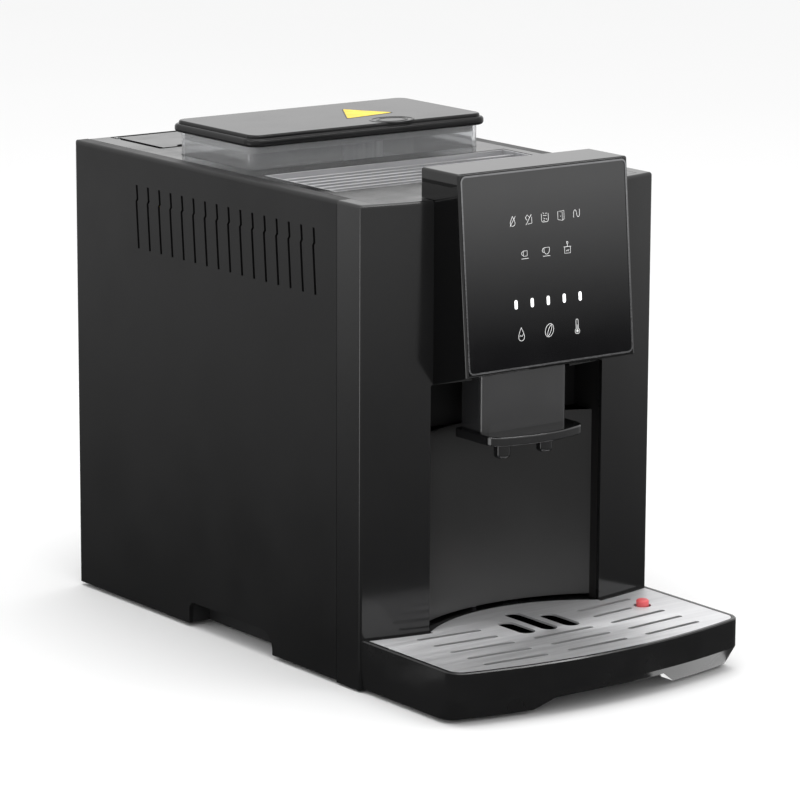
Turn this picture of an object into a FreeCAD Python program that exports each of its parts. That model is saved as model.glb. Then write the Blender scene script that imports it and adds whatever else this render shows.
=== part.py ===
import FreeCAD, Part
import math
import os

# Countertop bean-to-cup coffee machine. Millimetres, +Z up, front towards -Y.
# The origin is under the middle of the whole machine, on the surface it stands on.

V = FreeCAD.Vector

# ------------------------------------------------------------------ driving dimensions
# casing
BODY_W = 250.0          # side to side
BODY_D = 354.0          # front corner edges to rear face
BODY_H = 330.0          # lower edge of the side panels to the deck
FOOT_H = 3.0            # feet below the side panels
FACE_BOW = 15.5         # how far the front face bows out in plan
WALL = 3.0              # moulded casing walls
EDGE_R = 3.0            # outer edges of the casing
SEAM = 0.4              # gap between two covers that meet
TOUCH = 0.2             # gap under a piece that lifts off its seat
SLIDE = 0.3             # gap beside a piece that slides or turns past another
PIN_FIT = 0.05          # radial clearance of a pin, stub or shaft in its bore
FRONT_D = 27.0          # depth of the front frame at the sides
FRONT_DROP = 1.5        # front frame below the side panels
WRAP = 11.5             # side panels turned over the deck and the back
DECK_LIP = 6.0          # front frame turned back over the deck

# louvres and hand grips in the sides
LOUVRES = 16
LOUVRE_PITCH = 14.5
LOUVRE_FIRST = 55.0     # depth of the front louvre
LOUVRE_LOW = 262.5
LOUVRE_HIGH = 308.0
LOUVRE_KINK = 296.0     # height of the step in each louvre
LOUVRE_RAKE = 3.6
LOUVRE_JOG = 1.4
LOUVRE_JOG_H = 2.0
LOUVRE_W = 2.4
GRIP_FRONT = 103.2
GRIP_BACK = 207.0
GRIP_H = 16.0
GRIP_FRONT_R = 13.0
GRIP_BACK_R = 6.0
GRIP_IN = 14.0          # how far the fingers reach in

# cup bay
BAY_HALF = 74.0
BAY_H = 205.0           # above the head's root, so the head hides the bay's upper edge
BAY_CORNER_R = 1.5
BAY_STRAIGHT = 0.5      # depth where the curved back panel starts
BAY_SAG = 19.0          # hollow of the back panel
BAY_WALL = 2.4
PANEL_GAP = 2.0         # bay panel above the tray's rim
PANEL_TOP = 168.0

# control head
HEAD_HALF = 72.0
HEAD_RISE = 20.5        # head's top above the deck
HEAD_BACK = 5.0
HEAD_TOP_OUT = 35.8
HEAD_LOW_OUT = 47.3
HEAD_LOW = 215.5
HEAD_ROOT = 202.0       # where the head's underside meets the front face
HEAD_EDGE_R = 1.6
GLASS_T = 3.0
GLASS_MARGIN = 2.8      # head's outline to the glass
BEZEL_W = 1.3
BEZEL_PROUD = 0.4
GLASS_R = 3.0
BOARD_T = 1.6

# coffee outlet
SPOUT_HALF = 36.5
SPOUT_FRONT = 20.0      # in front of the corner edges
SPOUT_BACK = 4.5        # behind them
SPOUT_R = 6.0
SPOUT_SKIN = 2.2
SPOUT_LOW = 168.6
SPOUT_H = 81.4
LIP_HALF = 40.0
LIP_CORNER = 34.0
LIP_FRONT = 42.0
LIP_BACK = 6.5
LIP_T = 6.6
LIP_R = 12.0            # its front corners in plan
LIP_EDGE_R = 1.2
NOZZLE_R = 5.75
NOZZLE_X = 18.3
NOZZLE_Y = 17.0
NOZZLE_LOW = 149.0
NOZZLE_BORE = 2.5
NOZZLE_TIP_R = 2.8
NOZZLE_WAY = 3.0        # square channels from the duct to the nozzles
SPOUT_RISE = 25.0       # travel up from where it stands
SPOUT_DROP = 35.0       # travel down
FEED_R = 3.0            # coffee pipe
FEED_Y = 6.0            # pipe's drop into the spout, in front of the corner edges

# drip tray
TRAY_HALF = 124.0
TRAY_OUT = 121.0        # bowed front, in front of the corner edges
TRAY_CORNER = 103.5
TRAY_R = 13.0
TRAY_EDGE = 0.8         # chamfer round its upper edge
TRAY_H = 34.0
TRAY_BEVEL_H = 14.0
TRAY_BEVEL = 9.5
TRAY_SIDE_BEVEL = 1.2
TRAY_WALL = 3.0
TRAY_RIM = 3.5
TRAY_FLOOR = 5.0
TONGUE_HALF = 72.5
TONGUE_D = 45.0         # tray behind the corner edges
TONGUE_LOW = 4.0
CATCH_D = 24.0          # where the tongue opens to the drips from the brewer
ARCH_LOW_HALF = 62.0
ARCH_TOP_HALF = 45.0
ARCH_H = 9.5
ARCH_D = 28.0

# drip grid
GRID_T = 1.5
GRID_BELOW = 0.2        # under the tray's rim
GRID_UNDER = 0.1        # gap under the grid
GRID_BACK = 14.5        # middle of its curved back edge
GRID_BACK_CORNER = 10.5
GRID_SLOT_X = 67.5
GRID_SLOT_L = 51.0
GRID_SLOT_W = 3.8
GRID_SLOT_SKEW = 5.0    # degrees, outer groups
GRID_ROWS = (24.0, 42.5, 61.0, 79.5, 97.5)
GRID_MID_FORWARD = 2.5
DRAIN_W = 12.5
DRAIN_PITCH = 18.5
FLOAT_R = 4.5
FLOAT_X = 89.0
FLOAT_Y = 40.0
FLOAT_HOLE_R = 6.0
FLOAT_PROUD = 4.2
FLOAT_BASE_R = 9.0
FLOAT_BASE_H = 9.0

# deck: cup shelf, hopper, tank lid
SHELF_HALF = 105.0
SHELF_FRONT = 56.0
SHELF_BACK = 142.5
SHELF_DEEP = 8.0
RIB_PITCH = 10.5
RIB_W = 3.4
HOPPER_HALF = 100.0
HOPPER_FRONT = 163.0
HOPPER_BACK = 256.0
HOPPER_RISE = 16.0      # bean bin's rim above the deck
HOPPER_R = 8.0
HOPPER_WALL = 2.5
SHOULDER_DROP = 16.0    # bean bin's sloping floor starts this far below the deck
HOPPER_NECK_TOP = 282.0
NECK_HALF = 24.0
LID_HALF = 103.5
LID_FRONT = 157.0
LID_BACK = 262.0
LID_RIM = 6.0
LID_RISE = 24.5         # lid's top above the deck
LID_STEP = 3.0
LID_R = 11.0
LID_SKIN = 2.4
SEAL_H = 5.0
TANK_HALF = 94.5
TANK_FRONT = 285.0
TANK_BACK = 349.0
TANK_LOW = 140.0
TANK_DROP = 4.0         # tank's rim below the deck
TANK_WALL = 2.5
TANK_LID_HALF = 91.8
TANK_LID_FRONT = 287.0
TANK_LID_BACK = 348.0
KNUCKLE_R = 1.8

# grinder
GRIND_X = 25.0
GRIND_D = 205.0
GRIND_DECK = 229.0
GRIND_TOP = 268.0
GRIND_R = 38.0
GRINDER_WALL = 7.0
BURR_R = 28.0
BURR_T = 10.0
BURR_SHAFT_R = 4.0
KNOB_R = 14.0
KNOB_DROP = 6.0         # knob's top below the bean bin's rim
KNOB_H = 20.0
STEM_R = 5.0
MOTOR_R = 26.0
MOTOR_H = 74.0

# brewer, behind the service door
BREW_X = 52.0
BREW_D = 110.0
BREW_TOP = 240.0
BREW_PLATE = 4.0
BREW_MID = 150.0        # top of the plate that the chamber stands on
CHAMBER_H = 55.0
CHAMBER_R = 30.0
PISTON_R = 23.6
PISTON_H = 22.0
PISTON_STROKE = 30.0
PISTON_NUT_H = 12.0
PISTON_CLEAR = 5.0      # free height left over the stroke
SCREW_R = 4.0
SCREW_X = 8.0

# service door and grounds box
DOOR_FRONT = 48.0
DOOR_BACK = 181.6
DOOR_LOW = 22.0
DOOR_TOP = 248.0
DOOR_KNUCKLE_R = 2.4
DOOR_PIN_R = 1.0
BOX_FRONT = 56.0
BOX_BACK = 164.0
BOX_LEFT = -2.0
BOX_RIGHT = 108.0
BOX_H = 69.0
BOX_WALL = 2.0
SHELF_Z = 22.5          # top of the shelf that the grounds box slides on

# inner walls
INNER_T = 3.0
INNER_X = -12.0         # left face of the centre wall
BULKHEAD_D = 272.0
BULKHEAD_LOW = 30.0
FLOOR_T = 3.0

# water side
BOILER_X = -60.0
BOILER_D = 95.0
BOILER_R = 30.0
BOILER_LOW = 140.0
BOILER_H = 90.0
PUMP_X = -60.0
PUMP_Z = 45.0
PUMP_R = 17.0
PUMP_FRONT = 180.0
PUMP_BACK = 260.0
METER_X = -100.0
METER_FRONT = 236.0
METER_BACK = 264.0
METER_H = 22.0
PIPE_R = 3.0
OUTLET_X = -50.0
OUTLET_D = 317.0
OUTLET_R = 8.0

# mains side
INLET_X = -70.0
INLET_Z = 45.0
INLET_W = 30.0
INLET_H = 23.0
SWITCH_X = -29.0
SWITCH_W = 22.0
SWITCH_H = 26.0
ROCKER_TILT = 7.0

# ------------------------------------------------------------------ places from the dimensions
HALF_W = BODY_W / 2
TOTAL_D = BODY_D + TRAY_OUT
CORNER_Y = TRAY_OUT - TOTAL_D / 2
REAR_Y = CORNER_Y + BODY_D
FACE_R = (HALF_W ** 2 + FACE_BOW ** 2) / (2 * FACE_BOW)
FAR = 2 * BODY_D
HEAD_TOP = BODY_H + HEAD_RISE
HOPPER_TOP = BODY_H + HOPPER_RISE
HOPPER_SHOULDER = BODY_H - SHOULDER_DROP
LID_TOP = BODY_H + LID_RISE
TANK_TOP = BODY_H - TANK_DROP
KNOB_TOP = HOPPER_TOP - KNOB_DROP
KNOB_LOW = KNOB_TOP - KNOB_H
PANEL_LOW = TRAY_H + PANEL_GAP
BREW_LOW = BREW_MID - 2 * BREW_PLATE - PISTON_STROKE - PISTON_NUT_H - PISTON_CLEAR


def deep(d):
    """Y of a point d behind the casing's front corner edges."""
    return CORNER_Y + d


def high(h):
    """Z of a point h above the side panels' lower edge."""
    return FOOT_H + h


def face_y(x, inset=0.0):
    """Y of the bowed front face at x, moved back by inset."""
    return deep(FACE_R - FACE_BOW - math.sqrt((FACE_R - inset) ** 2 - x ** 2))


# ------------------------------------------------------------------ shapes
def block(x0, x1, y0, y1, z0, z1):
    return Part.makeBox(x1 - x0, y1 - y0, z1 - z0, V(x0, y0, z0))


def post(x, y, z0, z1, radius):
    return Part.makeCylinder(radius, z1 - z0, V(x, y, z0))


def rod_x(x0, x1, y, z, radius):
    return Part.makeCylinder(radius, x1 - x0, V(x0, y, z), V(1, 0, 0))


def rod_y(x, y0, y1, z, radius):
    return Part.makeCylinder(radius, y1 - y0, V(x, y0, z), V(0, 1, 0))


def face_of(start, *steps):
    """Flat face: each step is a point, or a pair (point on the arc, end of the arc)."""
    edges = []
    here = start
    for step in steps:
        if isinstance(step, tuple):
            edges.append(Part.Arc(here, step[0], step[1]).toShape())
            here = step[1]
        else:
            edges.append(Part.LineSegment(here, step).toShape())
            here = step
    edges.append(Part.LineSegment(here, start).toShape())
    return Part.Face(Part.Wire(edges))


def side_prism(half, points):
    """Outline given as (y, z) points, run across the machine from -half to +half."""
    corners = [V(-half, y, z) for y, z in points]
    return face_of(corners[0], *corners[1:]).extrude(V(2 * half, 0, 0))


def along(edge, axis):
    """True for a straight edge along "x", "y" or "z"."""
    if not isinstance(edge.Curve, (Part.Line, Part.LineSegment)):
        return False
    a = edge.Vertexes[0].Point
    b = edge.Vertexes[-1].Point
    rest = [n for n in "xyz" if n != axis]
    return all(abs(getattr(a, n) - getattr(b, n)) < 1e-6 for n in rest)


def middle(edge):
    return edge.CenterOfMass


def soften(shape, radius, wanted):
    return shape.makeFillet(radius, [e for e in shape.Edges if wanted(e)])


def pad(x0, x1, y0, y1, z0, z1, radius):
    """Block with its upright edges rounded."""
    return soften(block(x0, x1, y0, y1, z0, z1), radius, lambda e: along(e, "z"))


def capsule(x, y, length, width, z0, z1, turn=0.0):
    """Slot cutter, long along X, with round ends."""
    half = (length - width) / 2
    body = block(x - half, x + half, y - width / 2, y + width / 2, z0, z1)
    for end in (x - half, x + half):
        body = body.fuse(post(end, y, z0, z1, width / 2))
    body = body.removeSplitter()
    body.rotate(V(x, y, 0), V(0, 0, 1), turn)
    return body


def pipe_run(points, radius):
    """Bent pipe: straight lengths with a ball at each corner."""
    solid = None
    for a, b in zip(points, points[1:]):
        run = Part.makeCylinder(radius, (b - a).Length, a, b - a)
        solid = run if solid is None else solid.fuse(run)
    for corner in points[1:-1]:
        solid = solid.fuse(Part.makeSphere(radius, corner))
    return solid


def mirrored(shape):
    return shape.mirror(V(0, 0, 0), V(1, 0, 0))


def front_plan(inset, z0, z1, back):
    """Front frame's outline in plan, its walls moved in by inset, as a prism."""
    half = HALF_W - inset
    edge = face_y(half, inset)
    face = face_of(V(-half, back, z0), V(-half, edge, z0),
                   (V(0, face_y(0, inset), z0), V(half, edge, z0)), V(half, back, z0))
    return face.extrude(V(0, 0, z1 - z0))


# ------------------------------------------------------------------ base and feet
BASE_HALF = HALF_W - WALL - SEAM
RUNNER_FRONT = deep(8.0)
GRIP_CEILING = GRIP_H + 1.0
GRIP_ROOF = 2.0
UPSTAND_H = 30.0
UPSTAND_T = 5.7
REAR_IN = REAR_Y - WALL - TOUCH - 0.1


def grip_pocket():
    return block(BASE_HALF - GRIP_IN - WALL, BASE_HALF, deep(GRIP_FRONT) - WALL,
                 deep(GRIP_BACK) + WALL, high(0), high(GRIP_CEILING) + GRIP_ROOF)


def grip_space():
    return block(BASE_HALF - GRIP_IN, HALF_W + WALL, deep(GRIP_FRONT), deep(GRIP_BACK),
                 high(0) - WALL, high(GRIP_CEILING))


def base_pan():
    pan = front_plan(WALL + SEAM, high(0), high(FLOOR_T), REAR_IN)
    pan = pan.fuse(block(-BASE_HALF, BASE_HALF, REAR_IN - UPSTAND_T, REAR_IN, high(0), high(UPSTAND_H)))
    pan = pan.fuse(grip_pocket()).fuse(mirrored(grip_pocket()))
    pan = pan.cut(grip_space()).cut(mirrored(grip_space()))
    for x, z in screw_places():
        pan = pan.cut(rod_y(x, REAR_IN - FAR, REAR_IN + WALL, z, SCREW_SHANK_R + PIN_FIT))
    return pan.removeSplitter()


FOOT_R = 11.0
FOOT_X = 98.0
FOOT_FRONT = 52.0
FOOT_REAR = 318.0


def feet():
    pads = []
    for x in (-FOOT_X, FOOT_X):
        for d in (FOOT_FRONT, FOOT_REAR):
            foot = Part.makeCone(FOOT_R - 1.0, FOOT_R, FOOT_H / 2, V(x, deep(d), 0))
            foot = foot.fuse(post(x, deep(d), FOOT_H / 2, FOOT_H, FOOT_R))
            pads.append(foot.removeSplitter())
    return Part.makeCompound(pads)


# ------------------------------------------------------------------ side panels
def louvre(d):
    """One raked slot with a step near its top."""
    low = LOUVRE_LOW
    high_end = LOUVRE_HIGH
    kink = LOUVRE_KINK
    lean = LOUVRE_RAKE * (kink - low) / (high_end - low)
    start = d - LOUVRE_RAKE
    line = [(start, low), (start + lean, kink), (start + lean - LOUVRE_JOG, kink + LOUVRE_JOG_H),
            (d - LOUVRE_JOG, high_end)]
    ahead = [V(0, deep(y) - LOUVRE_W / 2, high(z)) for y, z in line]
    behind = [V(0, deep(y) + LOUVRE_W / 2, high(z)) for y, z in reversed(line)]
    corners = ahead + behind
    return face_of(corners[0], *corners[1:]).extrude(V(-FAR, 0, 0))


def side_shell():
    """Left side panel: outer skin, turned over the deck and the back, with louvres and a grip."""
    shell = block(-HALF_W, -HALF_W + WRAP, deep(FRONT_D), REAR_Y, high(0), high(BODY_H))

    def outer_edge(e):
        m = middle(e)
        at_side = abs(m.x + HALF_W) < 0.01
        on_top = along(e, "y") and abs(m.z - high(BODY_H)) < 0.01
        at_back = along(e, "z") and abs(m.y - REAR_Y) < 0.01
        return at_side and (on_top or at_back)

    shell = soften(shell, EDGE_R, outer_edge)
    shell = shell.cut(block(-HALF_W + WALL, 0, deep(0), REAR_Y - WALL, high(0) - WALL, high(BODY_H) - WALL))
    grip = block(-FAR, 0, deep(GRIP_FRONT), deep(GRIP_BACK), high(-GRIP_H), high(GRIP_H))
    grip = soften(grip, GRIP_FRONT_R, lambda e: along(e, "x") and middle(e).y < deep(GRIP_FRONT) + 0.01)
    grip = soften(grip, GRIP_BACK_R, lambda e: along(e, "x") and middle(e).y > deep(GRIP_BACK) - 0.01)
    shell = shell.cut(grip)
    slots = [louvre(LOUVRE_FIRST + i * LOUVRE_PITCH) for i in range(LOUVRES)]
    return shell.cut(Part.makeCompound(slots))


KNUCKLE_X = HALF_W - DOOR_KNUCKLE_R
KNUCKLE_Y = deep(DOOR_BACK) - SLIDE - DOOR_KNUCKLE_R
BOSS_HALF = 4.0
DOOR_PIN_IN = 4.6
PIN_LOW = GRIP_CEILING + GRIP_ROOF + SEAM
TOP_BOSS_H = 8.0


def side_panel_left():
    return side_shell()


def side_panel_right():
    panel = mirrored(side_shell())
    panel = panel.cut(block(0, FAR, deep(DOOR_FRONT), deep(DOOR_BACK), high(DOOR_LOW), high(DOOR_TOP)))
    for z0, z1 in ((high(PIN_LOW), high(DOOR_LOW)), (high(DOOR_TOP), high(DOOR_TOP) + TOP_BOSS_H)):
        panel = panel.fuse(block(KNUCKLE_X - BOSS_HALF, HALF_W - WALL, KNUCKLE_Y - BOSS_HALF,
                                 KNUCKLE_Y + BOSS_HALF, z0, z1))
    low_bore = post(KNUCKLE_X, KNUCKLE_Y, high(PIN_LOW) - WALL, high(DOOR_LOW) + 1.0, DOOR_PIN_R + PIN_FIT)
    top_bore = post(KNUCKLE_X, KNUCKLE_Y, high(DOOR_TOP) - 1.0, high(DOOR_TOP) + DOOR_PIN_IN + TOUCH,
                    DOOR_PIN_R + PIN_FIT)
    return panel.cut(low_bore).cut(top_bore).removeSplitter()


def door_pins():
    low = post(KNUCKLE_X, KNUCKLE_Y, high(PIN_LOW) + 0.1, high(DOOR_LOW) + DOOR_PIN_IN, DOOR_PIN_R)
    top = post(KNUCKLE_X, KNUCKLE_Y, high(DOOR_TOP) - DOOR_PIN_IN, high(DOOR_TOP) + DOOR_PIN_IN, DOOR_PIN_R)
    return Part.makeCompound([low, top])


# ------------------------------------------------------------------ service door
MAGNET_Z = 140.0
MAGNET_H = 12.0
MAGNET_D = 54.0
MAGNET_IN = 7.6
MAGNET_HALF_D = 3.0
STRIKE_T = 2.0
STRIKE_OVER = 2.0       # strike above and below the magnet
STRIKE_FRONT = DOOR_FRONT - 8.0
STRIKE_BACK = MAGNET_D + 4.0
STRIKE_FOOT = 4.0
DOOR_RIB_H = 4.0
DOOR_RIB_T = 2.0
DOOR_RIB_END = 6.0      # ribs stop short of the door's ends
DOOR_RIBS = (DOOR_FRONT + 22.0, DOOR_BACK - 30.0)


def service_door():
    low = high(DOOR_LOW) + SEAM
    top = high(DOOR_TOP) - SEAM
    plate = block(HALF_W - WALL, HALF_W, deep(DOOR_FRONT) + SEAM, KNUCKLE_Y, low, top)
    door = plate.fuse(post(KNUCKLE_X, KNUCKLE_Y, low, top, DOOR_KNUCKLE_R))
    rib_x = HALF_W - WALL - DOOR_RIB_H
    for d in DOOR_RIBS:
        door = door.fuse(block(rib_x, HALF_W - WALL, deep(d), deep(d) + DOOR_RIB_T, low + DOOR_RIB_END,
                               top - DOOR_RIB_END))
    for z in (low - 1.0, top - DOOR_PIN_IN - TOUCH):
        door = door.cut(post(KNUCKLE_X, KNUCKLE_Y, z, z + DOOR_PIN_IN + TOUCH + 1.0, DOOR_PIN_R + PIN_FIT))
    return door.removeSplitter()


def door_magnet():
    return block(HALF_W - WALL - MAGNET_IN, HALF_W - WALL, deep(MAGNET_D) - MAGNET_HALF_D,
                 deep(MAGNET_D) + MAGNET_HALF_D,
                 high(MAGNET_Z) - MAGNET_H / 2, high(MAGNET_Z) + MAGNET_H / 2)


def magnet_strike():
    front = deep(STRIKE_FRONT)
    x1 = HALF_W - WALL - MAGNET_IN - SLIDE
    z0 = high(MAGNET_Z) - MAGNET_H / 2 - STRIKE_OVER
    z1 = high(MAGNET_Z) + MAGNET_H / 2 + STRIKE_OVER
    plate = block(x1 - STRIKE_T, x1, front, deep(STRIKE_BACK), z0, z1)
    foot = block(x1 - STRIKE_T, HALF_W - WALL, front, front + STRIKE_FOOT, z0, z1)
    return plate.fuse(foot).removeSplitter()


# ------------------------------------------------------------------ back, deck and front frame
SCREW_SHANK_R = 1.5
SCREW_HEAD_R = 3.0
SCREW_L = 9.0
SCREW_SINK = 1.8        # counterbore for the head
SCREW_HEAD_LOW = 1.7
SCREW_HEAD_TOP = 0.2    # head below the panel's face
CROSS_L = 1.8
CROSS_W = 0.35
CROSS_DEEP = 1.0
SCREW_LOW_X = 96.0
SCREW_LOW_Z = 18.0
SCREW_TOP_X = 80.0
SCREW_TOP_Z = TANK_LOW - 10.0
VENT_ROWS = 8
VENT_LEFT = 20.0
VENT_RIGHT = 90.0
VENT_LOW = 70.0
VENT_PITCH = 5.5
VENT_H = 2.5


def screw_places():
    low = high(SCREW_LOW_Z)
    top = high(SCREW_TOP_Z)
    return [(-SCREW_LOW_X, low), (SCREW_LOW_X, low), (-SCREW_TOP_X, top), (SCREW_TOP_X, top)]


def rear_panel():
    half = HALF_W - WRAP - SEAM
    panel = block(-half, half, REAR_Y - WALL, REAR_Y, high(0), high(BODY_H) - WALL - SEAM)
    panel = panel.cut(block(INLET_X - INLET_W / 2, INLET_X + INLET_W / 2, REAR_Y - FAR, REAR_Y + WALL,
                            high(INLET_Z) - INLET_H / 2, high(INLET_Z) + INLET_H / 2))
    panel = panel.cut(block(SWITCH_X - SWITCH_W / 2, SWITCH_X + SWITCH_W / 2, REAR_Y - FAR, REAR_Y + WALL,
                            high(INLET_Z) - SWITCH_H / 2, high(INLET_Z) + SWITCH_H / 2))
    for row in range(VENT_ROWS):
        z = high(VENT_LOW + row * VENT_PITCH)
        panel = panel.cut(block(VENT_LEFT, VENT_RIGHT, REAR_Y - FAR, REAR_Y + WALL, z, z + VENT_H))
    for x, z in screw_places():
        panel = panel.cut(rod_y(x, REAR_Y - FAR, REAR_Y + WALL, z, SCREW_SHANK_R + PIN_FIT))
        panel = panel.cut(rod_y(x, REAR_Y - SCREW_SINK, REAR_Y + WALL, z, SCREW_HEAD_R + SLIDE))
    return panel


def rear_screws():
    screws = []
    for x, z in screw_places():
        head = rod_y(x, REAR_Y - SCREW_HEAD_LOW, REAR_Y - SCREW_HEAD_TOP, z, SCREW_HEAD_R)
        shank = rod_y(x, REAR_Y - SCREW_HEAD_LOW - SCREW_L, REAR_Y - SCREW_HEAD_LOW, z, SCREW_SHANK_R)
        cross = block(x - CROSS_L, x + CROSS_L, REAR_Y - CROSS_DEEP, REAR_Y, z - CROSS_W, z + CROSS_W)
        cross = cross.fuse(block(x - CROSS_W, x + CROSS_W, REAR_Y - CROSS_DEEP, REAR_Y, z - CROSS_L, z + CROSS_L))
        screws.append(head.fuse(shank).cut(cross).removeSplitter())
    return Part.makeCompound(screws)


TANK_HOLE_HALF = TANK_HALF + 2.5
TANK_HOLE_FRONT = TANK_FRONT - 2.0
TANK_HOLE_BACK = TANK_BACK + 1.8
TANK_HOLE_R = 2.0
REAR_EDGE_R = EDGE_R - 0.6
HEAD_NOTCH_D = -2.0     # deck cut away under the head


def top_cover():
    half = HALF_W - WRAP - SEAM
    z0 = high(BODY_H) - WALL
    z1 = high(BODY_H)
    cover = block(-half, half, deep(-FACE_BOW), REAR_Y, z0, z1)
    cover = cover.common(front_plan(DECK_LIP + SEAM, z0, z1, REAR_Y))

    def rear_edge(e):
        m = middle(e)
        return along(e, "x") and abs(m.y - REAR_Y) < 0.01 and abs(m.z - z1) < 0.01

    cover = soften(cover, REAR_EDGE_R, rear_edge)
    holes = [
        block(-HEAD_HALF - SEAM, HEAD_HALF + SEAM, deep(-FAR), deep(HEAD_NOTCH_D), z0 - 1, z1 + 1),
        block(-SHELF_HALF, SHELF_HALF, deep(SHELF_FRONT), deep(SHELF_BACK), z0 - 1, z1 + 1),
        pad(-HOPPER_HALF - SEAM, HOPPER_HALF + SEAM, deep(HOPPER_FRONT) - SEAM, deep(HOPPER_BACK) + SEAM,
            z0 - 1, z1 + 1, HOPPER_R + SEAM),
        pad(-TANK_HOLE_HALF, TANK_HOLE_HALF, deep(TANK_HOLE_FRONT), deep(TANK_HOLE_BACK), z0 - 1, z1 + 1,
            TANK_HOLE_R),
    ]
    return cover.cut(Part.makeCompound(holes))


def bay_cut():
    cut = block(-BAY_HALF, BAY_HALF, deep(-FAR), deep(0), high(-FRONT_DROP) - 1, high(BAY_H))

    def top_corner(e):
        return along(e, "y") and abs(middle(e).z - high(BAY_H)) < 0.01

    return soften(cut, BAY_CORNER_R, top_corner)


SLOT_HALF = 42.0
SLOT_TOP = 298.0
FRONT_EDGE_R = 2.2


def front_frame():
    low = high(-FRONT_DROP)
    top = high(BODY_H)
    back = deep(FRONT_D) - SEAM
    frame = front_plan(0.0, low, top, back)

    def soft_edge(e):
        m = middle(e)
        corner = along(e, "z") and m.y < deep(FRONT_D / 2)
        upper = abs(m.z - top) < 0.01 and m.y < deep(FRONT_D) - 1.0
        return corner or upper

    frame = soften(frame, FRONT_EDGE_R, soft_edge)
    frame = frame.cut(front_plan(WALL, low - 1, top - WALL, back + 1))
    frame = frame.cut(front_plan(DECK_LIP, top - FAR, top + 1, FAR).cut(
        front_plan(DECK_LIP, top - FAR, top - WALL, FAR)).common(
        block(-HALF_W + WRAP, HALF_W - WRAP, -FAR, FAR, top - FAR, top + 1)))
    frame = frame.cut(bay_cut())
    return frame.cut(block(-SLOT_HALF, SLOT_HALF, deep(-FAR), deep(0), high(BAY_H) - 1, high(SLOT_TOP)))


# ------------------------------------------------------------------ cup bay
HOOD_T = 2.0
PANEL_TOE = 2.0         # ends of the panel's sides below its main sheet
CHANNEL_FREE = 0.5      # room round the outlet in its channel


def bay_plan(grow, z0, z1):
    """Hollow of the cup bay in plan, widened by grow."""
    half = BAY_HALF + grow
    lip = face_y(HALF_W, WALL) + SEAM - 12.0
    return face_of(V(-half, lip, z0), V(-half, deep(BAY_STRAIGHT), z0),
                   (V(0, deep(BAY_STRAIGHT + BAY_SAG) + grow, z0), V(half, deep(BAY_STRAIGHT), z0)),
                   V(half, lip, z0)).extrude(V(0, 0, z1 - z0))


def behind_face(z0, z1):
    """Everything just behind the front frame's wall."""
    return front_plan(WALL + SEAM, z0, z1, REAR_Y)


def bay_panel():
    z0 = high(PANEL_LOW)
    z1 = high(PANEL_TOP)
    ceiling = high(BAY_H) + HOOD_T
    panel = bay_plan(BAY_WALL, z0, z1).cut(bay_plan(0.0, z0 - 1, z1 + 1))
    for side in (-1, 1):
        a = side * BAY_HALF
        b = side * (BAY_HALF + BAY_WALL)
        x0 = min(a, b)
        x1 = max(a, b)
        back = deep(BAY_STRAIGHT + BAY_SAG) + BAY_WALL
        panel = panel.fuse(block(x0, x1, deep(-FACE_BOW), back, z1, ceiling))
        panel = panel.fuse(block(x0, x1, deep(-FACE_BOW), deep(BAY_STRAIGHT), z0 - PANEL_TOE, z0))
    return panel.common(behind_face(z0 - PANEL_TOE, ceiling)).removeSplitter()


GUIDE_TOP = SPOUT_LOW + SPOUT_H + SPOUT_RISE + 7.0
GUIDE_OUT = 41.7
GUIDE_FRONT = 8.0


def spout_guide():
    """Hood over the cup bay, with the channel that the coffee outlet slides in."""
    wall_d = BAY_STRAIGHT + BAY_SAG
    inside = BAY_HALF - SEAM
    roof = high(BAY_H) + HOOD_T
    channel_back = deep(SPOUT_BACK) + CHANNEL_FREE
    hood = block(-inside, inside, deep(-FACE_BOW), deep(wall_d), high(BAY_H), roof)
    hood = hood.common(behind_face(high(BAY_H), roof))
    hood = hood.fuse(block(-inside, inside, deep(wall_d), deep(wall_d) + BAY_WALL, high(PANEL_TOP) + SEAM, roof))
    hood = hood.fuse(block(-GUIDE_OUT, GUIDE_OUT, deep(-GUIDE_FRONT), channel_back + WALL, high(BAY_H),
                           high(GUIDE_TOP)))
    run = SPOUT_HALF + CHANNEL_FREE
    channel = block(-run, run, deep(-FAR), channel_back, high(BAY_H) - 1, high(GUIDE_TOP) + 1)
    return hood.cut(channel).removeSplitter()


# ------------------------------------------------------------------ control head
PANEL_LEN = math.hypot(HEAD_LOW_OUT - HEAD_TOP_OUT, HEAD_TOP - HEAD_LOW)
PANEL_TILT = math.degrees(math.atan2(HEAD_LOW_OUT - HEAD_TOP_OUT, HEAD_TOP - HEAD_LOW))


def on_panel(shape):
    """Moves a piece drawn on the upright plane y = 0 onto the head's sloping front."""
    shape.rotate(V(0, 0, 0), V(1, 0, 0), -PANEL_TILT)
    shape.translate(V(0, deep(-(HEAD_TOP_OUT + HEAD_LOW_OUT) / 2), high((HEAD_TOP + HEAD_LOW) / 2)))
    return shape


def plate(half_x, half_z, y0, y1, radius):
    flat = block(-half_x, half_x, y0, y1, -half_z, half_z)
    return soften(flat, radius, lambda e: along(e, "y"))


GLASS_HALF_X = HEAD_HALF - GLASS_MARGIN
GLASS_HALF_Z = PANEL_LEN / 2 - GLASS_MARGIN
FRAME_IN = 3.4          # width of the ledge behind the glass
FACE_T = 6.6            # head's sloping front, before the glass is let in
HEAD_OFF = 0.3          # gap between the head and the casing
POCKET_FREE = 0.2
BEZEL_FREE = 0.1        # gap between the bezel and the glass
BOARD_IN = 3.0          # board's edge inside the window
SPOUT_WAY = 0.9         # room beside the outlet in the head's underside


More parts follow.
